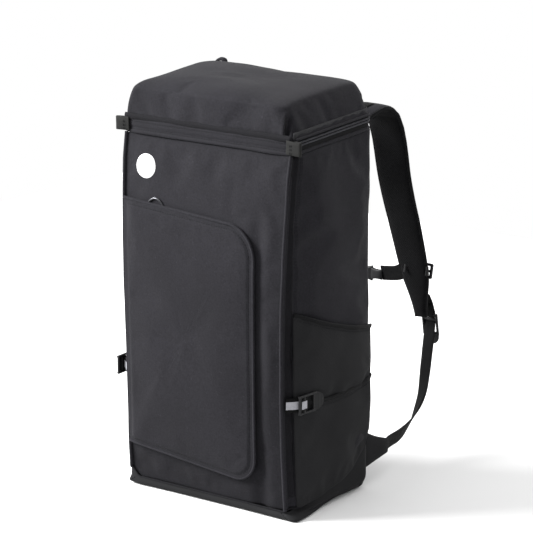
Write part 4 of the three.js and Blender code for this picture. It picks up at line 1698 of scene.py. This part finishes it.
def make_haul_handle():
    """Grab loop of rolled webbing between the shoulder straps."""
    low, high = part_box("haul_handle")
    x = high.x
    y = low.y
    line = [
        (-x + 0.004, y + 0.001, low.z + 0.004),
        (-x + 0.002, y + 0.004, low.z + 0.012),
        (-x * 0.72, high.y - 0.005, high.z - 0.006),
        (-x * 0.3, high.y - 0.002, high.z - 0.002),
        (x * 0.3, high.y - 0.002, high.z - 0.002),
        (x * 0.72, high.y - 0.005, high.z - 0.006),
        (x - 0.002, y + 0.004, low.z + 0.012),
        (x - 0.004, y + 0.001, low.z + 0.004),
    ]
    points = curve_points(line, 70)

    def section(t):
        grip = smoothstep((0.5 - abs(t - 0.5) - 0.16) / 0.08)
        half, thick = 0.0105 - 0.0035 * grip, (0.0022 + 0.0042 * grip) / 2
        angles = [2 * math.pi * k / 14 for k in range(14)]
        return [(half * math.cos(a), thick * math.sin(a) * (1 + 0.4 * grip)) for a in angles]

    obj = sweep("haul_handle_webbing", points, (0, -0.35, 1), section)
    paint(obj, "webbing")
    dress(obj, "haul_handle", ["haul_handle"])


# ---------------------------------------------------------------- harness


HARNESS_MIDDLE = Vector((0, 0.17, 0.33))


def measure_strap(node, count=34):
    """Middle line and half widths of a curved strap, found by casting rays through its CAD solid."""
    tree = surface_tree(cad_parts[node])
    low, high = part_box(node)
    hub = Vector((0, low.y + 0.40 * (high.y - low.y), low.z + 0.45 * (high.z - low.z)))
    first = math.atan2(high.z - 0.052 - hub.z, low.y - hub.y)
    last = math.atan2(low.z + 0.006 - hub.z, high.y - 0.006 - hub.y)
    xs = np.arange(low.x - 0.002, high.x + 0.002, 0.001)
    out = []
    for k in range(count):
        angle = first + (last - first) * k / (count - 1)
        ray = Vector((0, math.cos(angle), math.sin(angle)))
        hits = []
        for x in xs:
            start = Vector((x, hub.y, hub.z))
            inner = tree.ray_cast(start, ray)[0]
            outer = tree.ray_cast(start + ray, -ray)[0]
            if inner and outer:
                hits.append((x, inner, outer))
        if len(hits) < 6:
            continue
        middle = hits[len(hits) // 2]
        out.append(((middle[1] + middle[2]) / 2, (hits[-1][0] - hits[0][0]) / 2 + 0.0005))
    return out


def smooth_values(values, passes=2):
    values = list(values)
    for _ in range(passes):
        inner = [(a + 2 * b + c) / 4 for a, b, c in zip(values, values[1:], values[2:])]
        values = [values[0]] + inner + [values[-1]]
    return values


def make_harness():
    rows = measure_strap("shoulder_strap_right")
    route = smooth_values([r[0] for r in rows])
    widths = smooth_values([r[1] for r in rows])
    count = 110
    for side, sign in SIDES:
        line = spread(mirrored(route, sign), count)
        make_shoulder_strap(side, sign, line, widths)
        make_strap_end(side)


def half_width(widths, t):
    taper = 1 - 0.42 * smoothstep((t - 0.84) / 0.16)
    return taper * float(np.interp(t, np.linspace(0, 1, len(widths)), widths))


def make_shoulder_strap(side, sign, line, widths):
    """Padded shoulder strap: cloth outside, air mesh inside, bound along both edges."""
    turns = 28

    def section(t):
        half = half_width(widths, t)
        ends = smoothstep(t / 0.035) * smoothstep((1 - t) / 0.02)
        thick = 0.0042 + 0.0062 * ends
        out = []
        for k in range(turns):
            a = 2 * math.pi * k / turns
            out.append((half * blunt(math.cos(a), 0.75), thick / 2 * blunt(math.sin(a), 0.62)))
        return out

    obj = sweep(f"shoulder_strap_pad_{side}", line, (1, 0, 0), section)
    paint(obj, "air_mesh", "body_cloth")
    for face in obj.data.polygons:
        face.material_index = int(faces_out(face.normal, face.center))
    offset_along(obj, lambda p, n: ruffle(p, 30, 0.0012, 5.0 * sign))
    dress(obj, "harness", [f"shoulder_strap_{side}"])
    axes = frames(line, (1, 0, 0))
    for name, s in (("inner", -1), ("outer", 1)):
        edge = []
        for i, (p, (_, across, _)) in enumerate(zip(line, axes)):
            t = i / (len(line) - 1)
            edge.append(p + across * s * (half_width(widths, t) - 0.0008))
        fold = flat_section(0.0052, 0.0056, 0.5)
        bound = sweep(f"strap_binding_{name}_{side}", edge, (1, 0, 0), lambda t, fold=fold: fold)
        paint(bound, "binding")
        dress(bound, "harness")
    outer_web = [p + n * (0.0058 if faces_out(n, p) else -0.0058) for p, (_, _, n) in zip(line[4:], axes[4:])]
    tape = webbing(f"strap_webbing_{side}", outer_web[::6] + outer_web[-1:], (1, 0, 0), WEB_WIDE, WEB, 110)
    dress(tape, "harness")


def faces_out(normal, p):
    """Whether a normal points away from the middle of the harness loop."""
    return normal.dot(Vector((0, p.y, p.z)) - HARNESS_MIDDLE) > 0


def make_strap_end(side):
    node = f"strap_end_webbing_{side}"
    low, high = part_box(node)
    x = (low.x + high.x) / 2
    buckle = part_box(f"shoulder_ladderlock_{side}")
    line = [
        (x, low.y - 0.004, high.z + 0.004),
        (x, (low.y + high.y) / 2, (low.z + high.z) / 2 + 0.004),
        (x, high.y + 0.0012, low.z + 0.004),
        (x, buckle[0].y + 0.0042, buckle[1].z - 0.0048),
        (x, buckle[0].y + 0.0006, buckle[1].z - 0.0060),
        (x, high.y - 0.0035, low.z + 0.002),
        (x, (low.y + high.y) / 2 - 0.0022, (low.z + high.z) / 2),
    ]
    obj = webbing(f"strap_end_{side}", line, (1, 0, 0), abs(high.x - low.x) - 0.002, WEB, 60)
    dress(obj, "harness", [node])


def make_shoulder_buckles():
    for side, _ in SIDES:
        node = f"shoulder_ladderlock_{side}"
        low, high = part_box(node)
        centre = (low + high) / 2
        along = Vector((0, 0.16, -1)).normalized()
        out = Vector((0, 1, 0.16)).normalized()
        across = along.cross(out)
        wide, tall = high.x - low.x, high.z - low.z
        obj = ladderlock(f"shoulder_buckle_piece_{side}", centre, across, along, out, wide, tall)
        dress(obj, f"shoulder_buckle_{side}", [node])


def make_lower_webbing():
    """Adjusting webbing from each shoulder buckle down to the wing at the base, turning as it goes."""
    low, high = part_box("lower_webbing_right")
    size = high - low
    shares = [
        (0.19, 0.99, 0.99),
        (0.27, 0.93, 0.78),
        (0.35, 0.86, 0.52),
        (0.45, 0.76, 0.32),
        (0.58, 0.58, 0.155),
        (0.72, 0.345, 0.078),
        (0.87, 0.10, 0.076),
        (0.985, 0.0, 0.08),
    ]
    for side, sign in SIDES:
        places = [low + Vector((a * size.x, b * size.y, c * size.z)) for a, b, c in shares]
        line = mirrored(places, sign)
        line[0] = line[0] + Vector((0, 0.0015, 0.0))
        line.insert(0, line[0] + Vector((-sign * 0.001, 0.0020, 0.016)))
        quarter = math.pi / 2

        def across(t):
            turn_by = quarter * smoothstep(t)
            return sign * math.cos(turn_by), 0.0, math.sin(turn_by)

        obj = webbing(f"adjuster_webbing_{side}", line, across, WEB_WIDE, WEB, 120)
        offset_along(obj, lambda p, n: ruffle(p, 25, 0.0012, 3.0 * sign))
        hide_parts(f"lower_webbing_{side}")
        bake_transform(obj)


def make_wings():
    """Padded triangle of ribbed cloth that holds the end of each adjusting webbing."""
    for side, sign in SIDES:
        node = f"wing_{side}"
        low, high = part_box(node)
        tip = high.y + 0.002
        middle_x = (low.x + high.x) / 2
        columns, rows = 20, 18

        def surface(u, v):
            root_low, root_high = low.z, high.z
            end_low, end_high = low.z + 0.010, low.z + 0.031
            z0 = root_low + (end_low - root_low) * u
            z1 = root_high + (end_high - root_high) * (u**0.8)
            z = z0 + (z1 - z0) * v
            y = BACK - 0.001 + (tip - BACK + 0.001) * u
            crown = math.sin(math.pi * v) ** 0.5 * math.sin(math.pi * min(1, 0.12 + 0.86 * u)) ** 0.5
            return middle_x + sign * (0.0012 + 0.0034 * crown), y, z

        obj = grid(f"wing_cloth_{side}", surface, columns, rows)
        offset_along(obj, lambda p, n: ruffle(p, 30, 0.0014, 2.0))
        face_towards(obj, (sign, 0, 0))
        paint(obj, "base_cloth")
        thicken(obj, 0.0064)
        soften(obj)
        dress(lay_cloth(obj), "bag", [node])


def make_sternum():
    for side, sign in SIDES:
        make_sternum_clip(side, sign)
    make_sternum_webbing()
    make_sternum_buckle()


def make_sternum_clip(side, sign):
    """Slider clamped over the shoulder strap that carries the sternum webbing."""
    node = f"sternum_clip_{side}"
    low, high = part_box(node)
    mesh = bmesh.new()
    centre = (low + high) / 2
    axes = Matrix.Translation(centre)
    half_x, _, half_z = (high - low) / 2
    axes = axes @ Matrix.Rotation(math.radians(-12), 4, "X") @ UPRIGHT
    for z in (-half_z * 0.72, 0.0, half_z * 0.72):
        bar(mesh, (-half_x + 0.002, z, 0.0068), (half_x - 0.002, z, 0.0068), 0.0042, 0.0030, axes)
    for x in (-half_x + 0.002, half_x - 0.002):
        bar(mesh, (x, -half_z * 0.8, 0.0060), (x, half_z * 0.8, 0.0060), 0.0040, 0.0044, axes)
        bar(mesh, (x, -half_z * 0.5, -0.0060), (x, half_z * 0.5, -0.0060), 0.0040, 0.0030, axes)
        bar(mesh, (x, 0.0, -0.0070), (x, 0.002, 0.0070), 0.0060, 0.0032, axes)
    obj = finish_hard(f"sternum_slider_{side}", mesh, "buckle_plastic", 0.0004)
    dress(obj, "sternum_strap", [node])


def make_sternum_webbing():
    for side, sign in SIDES:
        node = f"sternum_webbing_{side}"
        low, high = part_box(node)
        y = (low.y + high.y) / 2
        z = (low.z + high.z) / 2
        outer = max(abs(low.x), abs(high.x))
        inner = min(abs(low.x), abs(high.x))
        line = [
            (sign * (outer + 0.006), y - 0.006, z + 0.0030),
            (sign * (outer - 0.006), y - 0.001, z - 0.0030),
            (sign * (outer + inner) / 2, y + 0.001, z - 0.0115),
            (sign * (inner - 0.002), y, z - 0.0150),
        ]
        wide = high.z - low.z
        obj = webbing(f"sternum_strap_{side}", line, (0, -0.15, 1), wide, WEB, 40, "narrow_webbing")
        dress(obj, "sternum_strap", [node])


def make_sternum_buckle():
    """Side-release buckle: a waisted socket and a plug with two prongs."""
    low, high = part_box("sternum_buckle_socket")
    plug_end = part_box("sternum_buckle_plug")[1].x
    y, z = (low.y + high.y) / 2, (low.z + high.z) / 2 - 0.014
    half = (high.z - low.z) / 2
    for name, x0, x1, node in (
        ("sternum_socket", low.x, high.x - 0.004, "sternum_buckle_socket"),
        ("sternum_plug", high.x - 0.008, plug_end, "sternum_buckle_plug"),
    ):
        rows = []
        for k in range(13):
            t = k / 12
            x = x0 + (x1 - x0) * t
            waist = half * (1 - 0.16 * math.sin(math.pi * t) - (0.22 * (t if "plug" in name else 1 - t)))
            thick = 0.0036 * (1 - 0.35 * abs(2 * t - 1) ** 4)
            if name.endswith("plug"):
                waist *= 0.86
                thick *= 0.85
            ring = []
            for q in range(20):
                a = 2 * math.pi * q / 20
                c, s = blunt(math.cos(a), 0.5), blunt(math.sin(a), 0.5)
                ring.append(Vector((x, y + thick * s, z + waist * c)))
            rows.append(ring)
        obj = mesh_rows(name, rows, loop=True)
        mesh = bmesh.new()
        mesh.from_mesh(obj.data)
        bmesh.ops.holes_fill(mesh, edges=mesh.edges)
        bpy.data.objects.remove(obj)
        obj = finish_hard(name, mesh, "buckle_plastic", 0.0006)
        dress(obj, "sternum_strap", [node])


def make_lid_sliders():
    """Zip sliders at the middle of the back, with cord pulls that hang down."""
    for side, _ in SIDES:
        node = f"lid_slider_{side}"
        low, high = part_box(node)
        size = high - low
        body = slider_body(f"{node}_piece", size.x, size.y, size.z)
        body.data.transform(Matrix.Translation((low + high) / 2))
        dress(body, node, [node])
        node = f"lid_slider_pull_{side}"
        low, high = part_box(node)
        middle = (low + high) / 2
        mesh = bmesh.new()
        axes = Matrix.Translation(middle) @ UPRIGHT
        half = (high.z - low.z) / 2
        for x in (-0.0017, 0.0017):
            bar(mesh, (x, 0, 0), (x, half, 0), 0.0012, 0.0014, axes)
        bar(mesh, (-0.0022, half - 0.0005, 0), (0.0022, half - 0.0005, 0), 0.0012, 0.0014, axes)
        bar(mesh, (0, -half, 0), (0, 0.001, 0), 0.0052, 0.0016, axes)
        bar(mesh, (-0.0018, -half * 0.6, 0.0006), (0.0018, -half * 0.6, 0.0006), 0.0008, 0.0014, axes)
        bar(mesh, (-0.0018, -half * 0.35, 0.0006), (0.0018, -half * 0.35, 0.0006), 0.0008, 0.0014, axes)
        obj = finish_hard(f"{node}_piece", mesh, "zip_metal", 0.0002)
        dress(obj, f"lid_pull_{side}", [node])


# ---------------------------------------------------------------- the whole bag

FRONT_TREE = make_front()
make_sides()
make_back()
BASE_TREE = make_base()
make_base_seam()
make_board()
make_piping()
make_front_band()
make_hinge_cloth()
make_zip()
make_tabs()
LID_TREE = make_lid()
make_lid_ear()
make_pocket()
make_badge()
make_side_pockets()
make_side_straps()
make_side_buckles()
make_back_pads()
make_yoke()
make_haul_handle()
make_harness()
make_sternum()
make_shoulder_buckles()
make_lower_webbing()
make_wings()
make_lid_sliders()
make_stitches()
